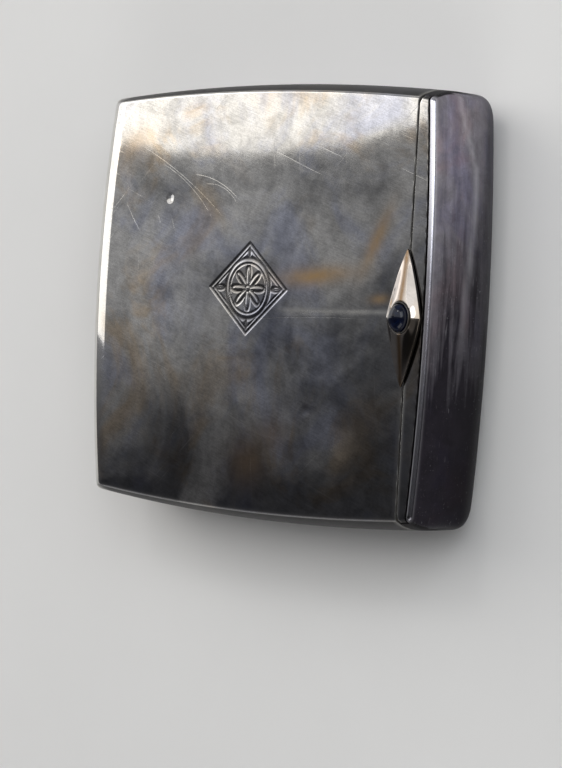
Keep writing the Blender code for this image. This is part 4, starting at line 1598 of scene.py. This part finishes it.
@dataclass
class Base:
    """The base's shell, its ledge and its bezels."""

    skin: Skin
    finishes: Finishes
    edge: float = 0.00010
    ledge_thickness: float = 0.0009
    seat_gap: float = 0.0003
    seam_gap: float = 0.00035
    groove_gap: float = 0.0004
    ledge_corner: float = 0.0010
    flange_thickness: float = 0.0008
    flange_depth: float = 0.0040
    bezel_thickness: float = 0.0006
    overrun: float = 0.005
    groove_steps: int = 101
    corner_steps: int = 8
    end_steps: int = 6
    ledge_steps: int = 81
    bezel_levels: int = 9
    bezel_steps: int = 61
    rim_wear_reach: float = 0.0006
    rim_wear: Table = ((5.0, 22.5), (0.3, 1.0))
    rubbed_line: Table = ((0.0, 5.0, 15.0, 26.0, 38.0), (12.0, 11.6, 10.3, 9.8, 14.5))
    rubbed_wear: Table = ((-8.0, 5.0, 20.0, 38.0), (0.0, 0.20, 0.30, 0.22))
    rubbed_width: float = 0.6
    end_wall_inset: float = 0.003
    end_wall_shading: Table = ((12.0, 28.0), (0.12, 0.0))
    black_beyond_front: Table = ((0.1, 0.6), (0.0, 1.0))
    black_up_ends: Table = ((8.0, 14.0), (0.5, 1.0))
    black_at_back: Table = ((1.4, 15.4), (0.95, 0.0))
    black_across: Table = ((40.0, 44.0), (0.0, 1.0))
    groove_black_width: float = 0.00003
    ledge_wear: float = 0.8
    ledge_wear_reach: float = 0.0004
    ledge_side_black: Table = ((0.0, 0.05), (0.0, 1.0))
    ledge_rim_share: float = 1.2

    def __post_init__(self) -> None:
        """Reads the ledge's inner edge and the seam from the frame."""
        self.ledge_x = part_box("front_ledge")[0].x
        self.seam_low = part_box("lid_shell")[0].z - self.seam_gap

    def build(self) -> None:
        """Makes the base's own pieces."""
        self.make_shell()
        self.make_ledge()
        self.make_bezels()

    def make_shell(self) -> None:
        """The shell: the hollow skin less the lid's bay, the ledge's pocket and the hinge's scoop."""
        skin, over = self.skin, self.overrun
        materials = [self.finishes.side_silver, self.finishes.gilt]
        shell = skin.solid("base_shell_visual", 0.0, materials, 0)
        cut_away(shell, skin.solid("core", skin.wall, materials, 1))
        reach_x, reach_y = skin.half_width + 2 * over, skin.half_height + 2 * over
        cut_away(shell, block("lid_bay", (-reach_x, -reach_y, self.seam_low),
                             (self.ledge_x, reach_y, skin.thickness + over)))
        y = np.linspace(-reach_y, reach_y, self.groove_steps)
        beside = self.ledge_x - self.seam_gap
        ring = np.concatenate([np.column_stack([skin.groove_at(y), y]),
                               [[beside, reach_y], [beside, -reach_y]]])
        cut_away(shell, prism("ledge_pocket", ring, skin.thickness - self.ledge_thickness - self.seat_gap,
                             skin.thickness + over))
        cut_away(shell, Hinge.scoop())
        paint(shell, "worn", self.wear)
        # painted shade: black high on the ends, in the groove and on the roll to the back
        paint(shell, "painted_shade", self.painted_shade_at)
        # painted shade: the end wall is darker away from its top end
        paint(shell, "tarnished",
              lambda points: self.on_end_wall(points) * follow(points[:, 1], self.end_wall_shading))
        finish_piece(shell, Body.BASE, Slot.SILVER, "base_shell")

    def on_end_wall(self, points: Array) -> Array:
        """Which points lie on the end wall."""
        return points[:, 0] > self.ledge_x + self.end_wall_inset

    def wear(self, points: Array) -> Array:
        """Wear along the end wall's front rim, the seam and a rubbed line on the end wall.

        Each is exp(-(distance / reach)^2), and the rim's is strongest towards the top end.

        Args:
            points: array of points.

        Returns:
            A value for each point.
        """
        x, y, z = points.T
        rim = np.where(x > self.ledge_x, np.abs(self.skin.thickness - z), 1.0)
        seam = np.where(x < self.ledge_x, np.abs(z - self.seam_low), 1.0)
        edge = np.exp(-(np.minimum(rim, seam) / self.rim_wear_reach) ** 2)
        off = z / MM - follow(y, self.rubbed_line)
        rubbed_and_sheen = np.exp(-(off / self.rubbed_width) ** 2) * follow(y, self.rubbed_wear)
        return np.maximum(follow(y, self.rim_wear) * edge, rubbed_and_sheen * self.on_end_wall(points))

    def painted_shade_at(self, points: Array) -> Array:
        """Painted shade: black high on the ends' walls, in the groove and on the roll to the back.

        Args:
            points: array of points.

        Returns:
            A value for each point.
        """
        x, y, z = points.T
        ends = follow(self.skin.beyond_front(points), self.black_beyond_front)
        groove = np.abs(x - self.skin.groove_at(y)) < self.groove_black_width
        back = follow(z, self.black_at_back) * follow(x, self.black_across)
        return np.maximum.reduce([ends * follow(z, self.black_up_ends), groove, back])

    def make_ledge(self) -> None:
        """The fixed strip beside the lid.

        Each section across it is a closed loop over the top, an end, the underside and the other
        end; the ends follow the skin, less a quarter-round of the corner's radius beside the lid.
        """
        skin = self.skin
        under = skin.thickness - self.ledge_thickness
        width = skin.groove_at(np.array(0.0)).item() - self.groove_gap - self.ledge_x
        first = self.ledge_corner * (1 - np.cos(quarter_turn(self.corner_steps))) / width
        share = np.concatenate([first, np.linspace(first[-1], 1.0, self.corner_steps)[1:]])
        end_z = under + self.ledge_thickness * np.sin(quarter_turn(self.end_steps))
        half = skin.extents(end_z, 0.0)[2]
        across = np.linspace(-1.0, 1.0, self.ledge_steps)[1:-1]
        z = np.concatenate([end_z, np.full(len(across), end_z[-1]), end_z[::-1],
                            np.full(len(across), under)])
        sections = []
        for portion in share:
            drawn = round_over(portion * width, np.array(self.ledge_corner))
            ends = skin.end_at(half, np.array(self.ledge_x + portion * width)) - drawn
            y = np.concatenate([ends, across[::-1] * ends[-1], -ends[::-1], across * ends[0]])
            side = self.ledge_x + portion * (skin.groove_at(y) - self.groove_gap - self.ledge_x)
            sections.append(np.column_stack([side, y, z]))
        parts = sweep_parts(skin.crowned(np.stack(sections)))
        ledge = weld("front_ledge_visual", parts, [self.finishes.silver])
        soften(ledge, self.edge)
        paint(ledge, "worn", lambda points: self.ledge_wear * np.exp(
            -((points[:, 0] - self.ledge_x) / self.ledge_wear_reach) ** 2))
        # painted shade: black down the ledge's sides and on its rim by the groove
        paint(ledge, "painted_shade", self.ledge_painted_shade)
        finish_piece(ledge, Body.BASE, Slot.SILVER, "front_ledge")
        reach = skin.extents(np.array(under), skin.wall + self.seat_gap)[2].item()
        flange = block("ledge_flange", (self.ledge_x, -reach, under - self.flange_depth),
                       (self.ledge_x + self.flange_thickness, reach, under))
        flange.data.materials.append(self.finishes.gilt)
        soften(flange, self.edge)
        finish_piece(flange, Body.BASE, Slot.GILT)

    def ledge_painted_shade(self, points: Array) -> Array:
        """Painted shade: black down the ledge's sides and on its rim beside the groove.

        Args:
            points: array of points.

        Returns:
            A value for each point.
        """
        skin = self.skin
        top = skin.crowned(np.column_stack([points[:, :2], np.full(len(points), skin.thickness)]))[:, 2]
        sides = follow(top - self.edge - points[:, 2], self.ledge_side_black)
        rim = skin.groove_at(points[:, 1]) - self.groove_gap - self.ledge_rim_share * self.edge
        return sides + (points[:, 0] > rim)

    def make_bezels(self) -> None:
        """The two strips inside the ends, each a rounded section carried along the end's bow."""
        skin = self.skin
        near = skin.wall + self.seat_gap
        for name, sense in (("bezel_top", 1), ("bezel_bottom", -1)):
            low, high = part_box(name)
            z = np.linspace(low.z, high.z, self.bezel_levels)
            loop = np.concatenate([z, z[::-1]])
            half = np.concatenate([skin.extents(z, near)[2],
                                   skin.extents(z, near + self.bezel_thickness)[2][::-1]])
            sections = [np.column_stack([np.full(len(half), x), sense * skin.end_at(half, x), loop])
                        for x in np.linspace(low.x, high.x, self.bezel_steps)]
            bezel = weld(name + "_visual", sweep_parts(np.stack(sections)), [self.finishes.gilt])
            soften(bezel, self.edge)
            finish_piece(bezel, Body.BASE, Slot.GILT, name)


ALONG_HINGE = Matrix.Rotation(-math.pi / 2, 4, "X")
ACROSS_CASE = Matrix.Rotation(math.pi / 2, 4, "Y")


@dataclass
class Hinge:
    """The knuckles, the pin and the bearers behind them."""

    skin: Skin
    finishes: Finishes
    edge: float = 0.00012
    pin_clearance: float = 0.0001
    steps: int = 48
    pin_steps: int = 32
    bearer_gap: float = 0.0003
    bearer_thickness: float = 0.0006
    bearer_levels: int = 9
    bearer_steps: int = 41
    cap_steps: int = 6

    @staticmethod
    def scoop() -> Piece:
        """The round cut that both shells have for the knuckles, as a cutter.

        Returns:
            The cutter.
        """
        gap, seat, steps = 0.00025, 0.0003, 64
        low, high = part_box("lid_knuckle_1")
        radius = (high.z - low.z) / 2 + gap
        pin_low, pin_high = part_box("hinge_pin")
        half = (pin_high.y - pin_low.y) / 2 + seat
        profile = np.array([[radius, -half], [radius, half]])
        rows = revolve(profile, steps, frame["joints"][0]["pos_m"], ALONG_HINGE)
        return weld("hinge_scoop", sweep_parts(rows), [])

    def build(self) -> None:
        """Makes the seven knuckles, the pin and the two bearers."""
        axis = frame["joints"][0]["pos_m"]
        pin_low, pin_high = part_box("hinge_pin")
        pin_radius = (pin_high.z - pin_low.z) / 2
        bore = pin_radius + self.pin_clearance
        for body, members in frame["record"]["behaviour"]["bodies"].items():
            for name in (member for member in members if "knuckle" in member):
                low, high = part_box(name)
                radius, half = (high.z - low.z) / 2, (high.y - low.y) / 2
                corners = np.array([[radius, half], [radius, -half], [bore, -half], [bore, half]])
                loop = rounded_loop(corners, self.edge)
                centre = (axis[0], (low.y + high.y) / 2, axis[2])
                knuckle = turned(name + "_visual", np.concatenate([loop, loop[:1]]), self.steps, centre,
                                 ALONG_HINGE, self.finishes.side_silver)
                finish_piece(knuckle, Body(body), Slot.SILVER, name)
        half = (pin_high.y - pin_low.y) / 2
        bend = quarter_turn(self.cap_steps)
        cap = np.column_stack([pin_radius * np.sin(bend), half - self.edge * (1 - np.cos(bend))])
        profile = np.concatenate([cap, cap[::-1] * np.array([1, -1])])
        pin = turned("hinge_pin_visual", profile, self.pin_steps, (axis[0], 0.0, axis[2]), ALONG_HINGE,
                     self.finishes.steel)
        finish_piece(pin, Body.BASE, Slot.STEEL, "hinge_pin")
        self.make_bearers()

    def make_bearers(self) -> None:
        """The strips that back the hinge inside, each a section carried along the spine's bow."""
        skin = self.skin
        inset = skin.wall + self.bearer_gap
        for name, body in (("base_hinge_bearer", Body.BASE), ("lid_hinge_bearer", Body.LID)):
            low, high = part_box(name)
            z = np.linspace(low.z, high.z, self.bearer_levels)
            loop = np.concatenate([z, z[::-1]])
            flat = np.concatenate([skin.extents(z, inset)[0],
                                   skin.extents(z, inset + self.bearer_thickness)[0][::-1]])
            sections = [np.column_stack([flat - skin.bow_spine * skin.bow_share(y), np.full(len(loop), y),
                                         loop]) for y in np.linspace(low.y, high.y, self.bearer_steps)]
            bearer = weld(name + "_visual", sweep_parts(np.stack(sections)), [self.finishes.gilt])
            soften(bearer, self.edge / 2)
            finish_piece(bearer, body, Slot.GILT, name)


@dataclass
class Catch:
    """The leaf spring on the ledge's flange and its rivets."""

    finishes: Finishes
    thickness: float = 0.00035
    pad: float = 0.0035
    head_radius: float = 0.0009
    shank_radius: float = 0.0005
    head_share: float = 0.2
    rivet_steps: int = 32
    spring_steps: int = 81
    dome_steps: int = 6

    def build(self) -> None:
        """Makes the spring, whose free middle bows out as sin^2, and two domed rivets."""
        low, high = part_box("catch_spring")
        half = (high.y - low.y) / 2
        crest = high.x - low.x - self.thickness
        y = np.linspace(-half, half, self.spring_steps)
        free = np.clip(1 - np.abs(y) / (half - self.pad), 0, 1)
        x = high.x - crest * np.sin(free * np.pi / 2) ** 2
        z = np.array([low.z, low.z, high.z, high.z])
        sections = np.stack([np.column_stack([np.array([a - self.thickness, a, a, a - self.thickness]),
                                              np.full(4, b), z]) for a, b in zip(x, y)])
        spring = weld("catch_spring_visual", sweep_parts(sections), [self.finishes.steel])
        soften(spring, self.thickness / 5)
        finish_piece(spring, Body.BASE, Slot.STEEL, "catch_spring")
        bend = quarter_turn(self.dome_steps)
        for name in ("spring_rivet_top", "spring_rivet_bottom"):
            low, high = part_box(name)
            head = (high.x - low.x) * self.head_share
            dome = np.column_stack([self.head_radius * np.sin(bend), head * np.cos(bend)])
            length = high.x - low.x - 2 * head
            shank = [[self.shank_radius, length], [self.shank_radius, 0.0]]
            profile = np.concatenate([dome + np.array([0, length]), shank, dome[::-1] * np.array([1, -1])])
            centre = (low.x + head, (low.y + high.y) / 2, (low.z + high.z) / 2)
            rivet = turned(name + "_visual", profile, self.rivet_steps, centre, ACROSS_CASE,
                           self.finishes.steel)
            finish_piece(rivet, Body.BASE, Slot.STEEL, name)


@dataclass
class Thumbpiece:
    """The lozenge on the lid, the collet and the stone."""

    skin: Skin
    finishes: Finishes
    corner_share: float = 1.74
    flank_share: float = 1.3
    rim: float = 0.0006
    tip: float = 0.0003
    rim_round: float = 0.00010
    steps: int = 128
    rings: int = 22
    first_ring: float = 0.012
    foot_rings: int = 13
    lip_steps: int = 9
    dome_steps: int = 24
    wall: float = 0.00025
    floor: float = 0.0002
    girdle: float = 0.0005
    foot_gap: float = 0.00003
    foot_inset: float = 0.00015
    foot_slope: float = 0.0001
    stone_steps: int = 96
    ridge_smudge: tuple[float, float] = (0.3, 0.7)
    ridge_width: float = 0.0006
    flank_shading: float = 0.7
    flank_fades: tuple[float, float] = (0.0005, 0.001)
    collet_black: float = 0.88
    lip_share: float = 0.75

    def build(self) -> None:
        """Makes the lozenge, the collet and the stone."""
        self.make_lozenge()
        self.make_collet()
        self.make_stone()

    def outline(self, angle: Array, half_x: float, half_y: float) -> Array:
        """The lozenge's outline: x = a |cos t|^p and y = b |sin t|^p, each with its own sign.

        Args:
            angle: the angles t.
            half_x: half of its width a.
            half_y: half of its length b.

        Returns:
            Array of points and x and y.
        """
        across, along = np.cos(angle), np.sin(angle)
        return np.stack([np.sign(across) * np.abs(across) ** self.corner_share * half_x,
                         np.sign(along) * np.abs(along) ** self.corner_share * half_y], axis=-1)

    def make_lozenge(self) -> None:
        """The lozenge: rings that go from its outline to the stone's seat while they rise.

        A ring at share b has the points (1 - b) outline + b seat, at the rim's height plus the
        rest of the rise times b to the flank's power. The rim thins towards the two tips, and its
        side is painted black as shade. Inside the seat a pocket goes down to its floor. The half on
        the lid reaches down to it, and the half over the ledge keeps a gap.
        """
        low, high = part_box("thumbpiece")
        collet_low, collet_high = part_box("stone_collet")
        centre = np.array([(low.x + high.x) / 2, (low.y + high.y) / 2])
        half_x, half_y = (high.x - low.x) / 2, (high.y - low.y) / 2
        seat_x = (collet_high.x - collet_low.x) / 2 + self.rim_round
        seat_y = (collet_high.y - collet_low.y) / 2 + self.rim_round
        angle = np.linspace(0.0, 2 * np.pi, self.steps, endpoint=False)
        edge = self.outline(angle, half_x, half_y)
        oval = np.stack([np.cos(angle), np.sin(angle)], axis=-1)
        seat = oval * np.array([seat_x + self.wall, seat_y + self.wall])
        rim = low.z + self.tip + (self.rim - self.tip) * np.abs(np.cos(angle))
        rows = [self.at(edge * share, centre, low.z, foot=True)
                for share in np.linspace(0.0, 1.0, self.foot_rings)]
        rows.append(self.at(edge, centre, rim - self.rim_round))
        for share in np.linspace(self.first_ring, 1.0, self.rings):
            level = rim + (high.z - rim) * share ** self.flank_share
            rows.append(self.at(edge + (seat - edge) * share, centre, level))
        inner = oval * np.array([seat_x, seat_y])
        rows.append(self.at(inner, centre, high.z))
        rows += [self.at(inner * share, centre, collet_low.z - self.foot_gap) for share in (1.0, 0.0)]
        piece = weld("thumbpiece_visual", [grid(np.stack(rows), wrap=True)], [self.finishes.bright])
        rise = self.rim - self.tip

        # painted shade: the rim's side is painted black as the shadow along the outline
        def side(points: Array) -> Array:
            """Which points lie on the rim's side, below the rim's own height there.

            Args:
                points: array of points.

            Returns:
                Whether each point does.
            """
            place = np.abs(points[:, 0] - centre[0]) / half_x
            level = low.z - self.rim_round / 2 + self.tip + rise * place ** (1 / self.corner_share)
            return points[:, 2] < level

        def ridge(points: Array) -> Array:
            """Brown stain all over, strongest along the ridge."""
            least, more = self.ridge_smudge
            return least + more * np.exp(-((points[:, 0] - centre[0]) / self.ridge_width) ** 2)

        def flank(points: Array) -> Array:
            """Painted shade: a darker colour on the upper flank towards the spine."""
            shares = (points[:, :2] - centre) * np.array([-1, 1]) / np.array(self.flank_fades)
            return self.flank_shading * np.prod(np.clip(shares, 0, 1), axis=1)

        # the rim's side and the upper flank carry painted shade; the ridge's brown is a stain
        for name, value in (("smudge", ridge), ("painted_shade", side), ("tarnished", flank)):
            paint(piece, name, value)
        finish_piece(piece, Body.LID, Slot.BRIGHT, "thumbpiece")

    def at(self, ring: Array, centre: Array, level: object, foot: bool = False) -> Array:
        """Places a flat ring at a level; a foot's points on the lid's side go down to the lid.

        Args:
            ring: the ring's points about its middle.
            centre: place of its middle.
            level: height of the ring, or of each of its points.
            foot: whether it belongs to the foot.

        Returns:
            The placed points.
        """
        points = np.column_stack([ring + centre, np.full(len(ring), 1.0) * level])
        if foot:
            flat = np.column_stack([points[:, :2], np.full(len(ring), self.skin.thickness)])
            face = self.skin.crowned(flat)
            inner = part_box("lid_shell")[1].x - self.foot_inset
            share = np.clip((inner - points[:, 0]) / self.foot_slope, 0, 1)
            points[:, 2] += (face[:, 2] + self.foot_gap - level) * share
        return points

    def make_oval(self, node: str, profile: Array, material: Material) -> Piece:
        """Turns a profile about a node's middle, stretched to the node's length.

        Args:
            node: the frame's node.
            profile: array of radius and height.
            material: the piece's material.

        Returns:
            The new piece.
        """
        low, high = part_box(node)
        stretch = (high.y - low.y) / (high.x - low.x)
        centre = ((low.x + high.x) / 2, (low.y + high.y) / 2, low.z)
        return turned(node + "_visual", profile, self.stone_steps, centre, Matrix.Identity(4), material,
                      stretch)

    def make_collet(self) -> None:
        """The oval cup that holds the stone, with a rim rubbed in over its edge."""
        low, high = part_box("stone_collet")
        radius, height = (high.x - low.x) / 2, high.z - low.z
        lip_width = self.wall * self.lip_share
        bend = np.linspace(0, np.pi, self.lip_steps)
        lip = np.column_stack([radius - lip_width / 2 * (1 - np.cos(bend)),
                               height - lip_width / 2 * (1 - np.sin(bend))])
        profile = np.concatenate([[[0.0, 0.0], [radius, 0.0]], lip,
                                  [[radius - lip_width, self.floor], [0.0, self.floor]]])
        collet = self.make_oval("stone_collet", profile, self.finishes.bright)
        # painted shade: the whole collet is painted nearly black
        paint(collet, "painted_shade", lambda points: np.full(len(points), self.collet_black))
        finish_piece(collet, Body.LID, Slot.BRIGHT, "stone_collet")

    def make_stone(self) -> None:
        """The stone: a half ellipsoid over a low girdle."""
        low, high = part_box("cabochon")
        radius, dome = (high.x - low.x) / 2, high.z - low.z - self.girdle
        bend = quarter_turn(self.dome_steps)
        arc = np.column_stack([radius * np.sin(bend), self.girdle + dome * np.cos(bend)])
        profile = np.concatenate([arc, [[radius, 0.0], [0.0, 0.0]]])
        stone = self.make_oval("cabochon", profile, self.finishes.stone)
        finish_piece(stone, Body.LID, Slot.STONE, "cabochon")


@dataclass
class Retainer:
    """The elastic band across the cigarettes and its two staples."""

    finishes: Finishes
    thickness: float = 0.0006
    wire: float = 0.00045
    gap: float = 0.00012
    bend: float = 0.0008
    bend_steps: int = 6
    loop_ends: tuple[float, float] = (28.0, -270.0)
    loop_steps: int = 49
    run_steps: int = 160
    edge_share: float = 0.3

    def build(self) -> None:
        """Makes the staples and the band that loops round them."""
        level = sum(point.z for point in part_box("band_staple_hinge_side")) / 2
        bars = []
        for name, sense in (("band_staple_hinge_side", 1), ("band_staple_end_side", -1)):
            low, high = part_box(name)
            wall = low.x if sense > 0 else high.x
            bar = (high.x if sense > 0 else low.x) - sense * self.wire
            side = (high.y - low.y) / 2 - self.wire
            corners = np.array([[wall, -side], [bar, -side], [bar, side], [wall, side]])
            curves = rounded_loop(corners, self.bend, self.bend_steps).reshape(len(corners), -1, 2)
            path = np.concatenate([corners[:1], *curves[1:3], corners[3:]])
            path = np.column_stack([path, np.full(len(path), level)])
            staple = weld(name + "_visual", tube(path, self.wire), [self.finishes.gilt])
            finish_piece(staple, Body.BASE, Slot.GILT, name)
            bars.append(bar)
        self.make_band(bars, level)

    def make_band(self, bars: Sequence[float], level: float) -> None:
        """The band: a ribbon whose path loops round one bar, runs across and loops round the other.

        Args:
            bars: place of each staple's bar.
            level: height of the bars.
        """
        low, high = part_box("retaining_band")
        half = (high.y - low.y) / 2
        radius = self.wire + self.gap + self.thickness / 2
        turn = np.radians(np.linspace(*self.loop_ends, self.loop_steps))
        first = np.stack([bars[0] + radius * np.cos(turn), level + radius * np.sin(turn)], axis=-1)
        last = np.stack([bars[1] - radius * np.cos(turn), level + radius * np.sin(turn)], axis=-1)[::-1]
        run = np.stack([np.linspace(bars[0], bars[1], self.run_steps),
                        np.full(self.run_steps, level + radius)], axis=-1)[1:-1]
        path = np.concatenate([first, run, last])
        direction = np.gradient(path, axis=0)
        direction /= np.linalg.norm(direction, axis=1, keepdims=True)
        normal = np.stack([-direction[:, 1], direction[:, 0]], axis=-1)
        edge = np.array([[-1, -1], [1, -1], [1, 1], [-1, 1]]) * np.array([half, self.thickness / 2])
        section = rounded_loop(edge, self.thickness * self.edge_share)
        points = np.stack([path[:, None, 0] + normal[:, None, 0] * section[None, :, 1],
                           np.broadcast_to(section[None, :, 0], (len(path), len(section))),
                           path[:, None, 1] + normal[:, None, 1] * section[None, :, 1]], axis=-1)
        band = weld("retaining_band_visual", sweep_parts(points), [self.finishes.elastic])
        finish_piece(band, Body.BASE, Slot.ELASTIC, "retaining_band")


@dataclass(frozen=True)
class Lamp:
    """A soft rectangular lamp that faces a point.

    Its radiance is the brightness of its face, where 1 looks white, and its turn is about the
    line to that point, in degrees.
    """

    name: str
    place: tuple[float, float, float]
    aim: tuple[float, float, float]
    size: tuple[float, float]
    radiance: float
    colour: Colour = (1.0, 1.0, 1.0)
    turn: float = 0.0

    def hang(self) -> None:
        """Adds the lamp to the scene, unseen by the camera."""
        data = bpy.data.lights.new(self.name, "AREA")
        data.shape = "RECTANGLE"
        data.size, data.size_y = self.size
        data.energy = self.radiance * math.pi * self.size[0] * self.size[1]
        data.color = self.colour
        lamp = bpy.data.objects.new(self.name, data)
        lamp.location = self.place
        facing = (Vector(self.aim) - Vector(self.place)).to_track_quat("-Z", "Y").to_matrix()
        lamp.rotation_euler = (facing @ Matrix.Rotation(math.radians(self.turn), 3, "Z")).to_euler()
        lamp.visible_camera = False
        bpy.context.scene.collection.objects.link(lamp)


@dataclass(frozen=True)
class Step:
    """A smooth step of a share along a direction's y or z, from start to stop."""

    low: float
    high: float
    start: float = 0.0
    stop: float = 1.0

    def share(self, nodes: Nodes, value: Socket) -> Socket:
        """Adds the step over a value."""
        return nodes.ramp(value, self.low, self.high, self.start, self.stop)


@dataclass
class Studio:
    """The floor, the light and the camera.

    The lamps are on the upper side: overhead, behind the spine, low beyond it and in front, with
    one low before the bottom end. The walls are pale on the upper side and dim on the lower one,
    black above the case there and lighter low down in front.
    """

    position: tuple[float, float, float] = (0.34926, -0.00180, 0.37805)
    yaw: float = math.radians(43.5)
    pitch: float = math.radians(1.580)
    roll: float = math.radians(3.199)
    lens: float = 121.6
    sensor: float = 36.0
    clip: tuple[float, float] = (0.01, 20.0)
    floor_colour: Colour = (0.80, 0.79, 0.77)
    floor_tone: Pattern = Pattern(30.0, 3.0)
    floor_tones: tuple[float, float] = (0.97, 1.0)
    floor_size: float = 6.0
    floor_roughness: float = 0.85
    lamps: Sequence[Lamp] = (
        Lamp("overhead", (0.55, 0.52, 1.00), (0.55, 0.52, 0.0), (2.0, 0.9), 1.15),
        Lamp("behind_spine", (-0.82, 0.615, 0.80), (0.0, 0.615, 0.0), (1.0, 0.9), 1.12,
             colour=(1.0, 0.97, 0.92), turn=5.5),
        Lamp("window", (0.05, 0.62, 0.83), (0.0, 0.0, 0.0), (0.12, 0.16), 9.0),
        Lamp("beyond_spine", (-0.95, 0.47, 0.36), (0.0, 0.47, 0.0), (1.0, 0.66), 1.25,
             colour=(1.0, 0.99, 0.97)),
        Lamp("before_thumbpiece", (1.05, 0.56, 0.85), (0.0, 0.0, 0.0), (0.9, 0.9), 2.2,
             colour=(0.88, 0.94, 1.0)),
        Lamp("below_case", (0.7, -1.35, 0.75), (0.0, 0.0, 0.0), (1.4, 0.8), 1.6),
    )
    pale: Colour = (0.34, 0.345, 0.36)
    pale_along: Step = Step(-0.09, 0.03)
    pale_up: Step = Step(0.70, 0.77, 1.0, 0.62)
    dim: Colour = (0.080, 0.080, 0.085)
    black: Colour = (0.010, 0.010, 0.011)
    black_along: Step = Step(-0.28, -0.12, 1.0, 0.0)
    black_up: Step = Step(0.78, 0.87)
    side: Colour = (0.26, 0.26, 0.27)
    side_along: Step = Step(-0.45, -0.25, 1.0, 0.0)
    side_up: Step = Step(0.20, 0.45, 1.0, 0.0)

    def build(self) -> None:
        """Makes the floor, the lamps, the world and the camera."""
        self.make_floor()
        for lamp in self.lamps:
            lamp.hang()
        self.make_world()
        self.make_camera()

    def make_floor(self) -> None:
        """A large plain floor, level with the back of the case."""
        half = self.floor_size / 2
        corners = np.array([[-half, -half, 0.0], [half, -half, 0.0], [half, half, 0.0], [-half, half, 0.0]])
        material, nodes, shader, place = new_material("pale_floor")
        tone = nodes.ramp(self.floor_tone.value(nodes, place), 0.0, 1.0, *self.floor_tones)
        nodes.join(nodes.mix(1.0, rgba(self.floor_colour), tone, "MULTIPLY"), shader, "Base Color")
        shader.inputs["Roughness"].default_value = self.floor_roughness
        floor = weld("floor", [polygon(corners)], [material])

    def make_world(self) -> None:
        """The studio's walls: each colour's share is a smooth step along y times one along z."""
        world = bpy.data.worlds.new("studio")
        world.use_nodes = True
        nodes = Nodes(world.node_tree)
        direction = nodes.add("ShaderNodeTexCoord").outputs["Generated"]
        _x, y, z = nodes.add("ShaderNodeSeparateXYZ", {0: direction}).outputs
        colour = rgba(self.dim)
        for tint, along, up in ((self.black, self.black_along, self.black_up),
                                (self.side, self.side_along, self.side_up),
                                (self.pale, self.pale_along, self.pale_up)):
            share = nodes.times(along.share(nodes, y), up.share(nodes, z))
            colour = nodes.mix(share, colour, rgba(tint))
        nodes.join(colour, world.node_tree.nodes["Background"], "Color")
        bpy.context.scene.world = world
        bpy.context.scene.view_settings.view_transform = "Standard"

    def make_camera(self) -> None:
        """The camera: turned by the yaw and pitch from the front's normal, then rolled."""
        back = np.array([math.sin(self.yaw) * math.cos(self.pitch), math.sin(self.pitch),
                         math.cos(self.yaw) * math.cos(self.pitch)])
        level = np.array([math.cos(self.yaw), 0.0, -math.sin(self.yaw)])
        upright = np.cross(back, level)
        right = math.cos(self.roll) * level + math.sin(self.roll) * upright
        up = -math.sin(self.roll) * level + math.cos(self.roll) * upright
        data = bpy.data.cameras.new("camera")
        data.lens = self.lens
        data.sensor_width = self.sensor
        data.clip_start, data.clip_end = self.clip
        camera = bpy.data.objects.new("camera", data)
        camera.matrix_world = Matrix([(*row, place) for row, place in
                                      zip(np.column_stack([right, up, back]).tolist(), self.position)]
                                     + [(0.0, 0.0, 0.0, 1.0)])
        bpy.context.scene.collection.objects.link(camera)
        bpy.context.scene.camera = camera


def read_skin() -> Skin:
    """Works out the shells' common form from the frame.

    Returns:
        The form.
    """
    low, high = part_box("base_shell")
    lid_low, lid_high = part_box("lid_shell")
    return Skin(spine_x=low.x + Skin.bow_spine, thumb_x=high.x - Skin.bow_thumb, thickness=lid_high.z,
                seam=lid_low.z)


def main() -> None:
    """Builds the studio and the sub-assemblies in order."""
    logging.basicConfig(level=logging.INFO, format="%(message)s")
    skin = read_skin()
    finishes = Finishes()
    Studio().build()
    Lid(skin, finishes).build()
    Base(skin, finishes).build()
    Hinge(skin, finishes).build()
    Catch(finishes).build()
    Thumbpiece(skin, finishes).build()
    Retainer(finishes).build()


if __name__ == "__main__":
    main()
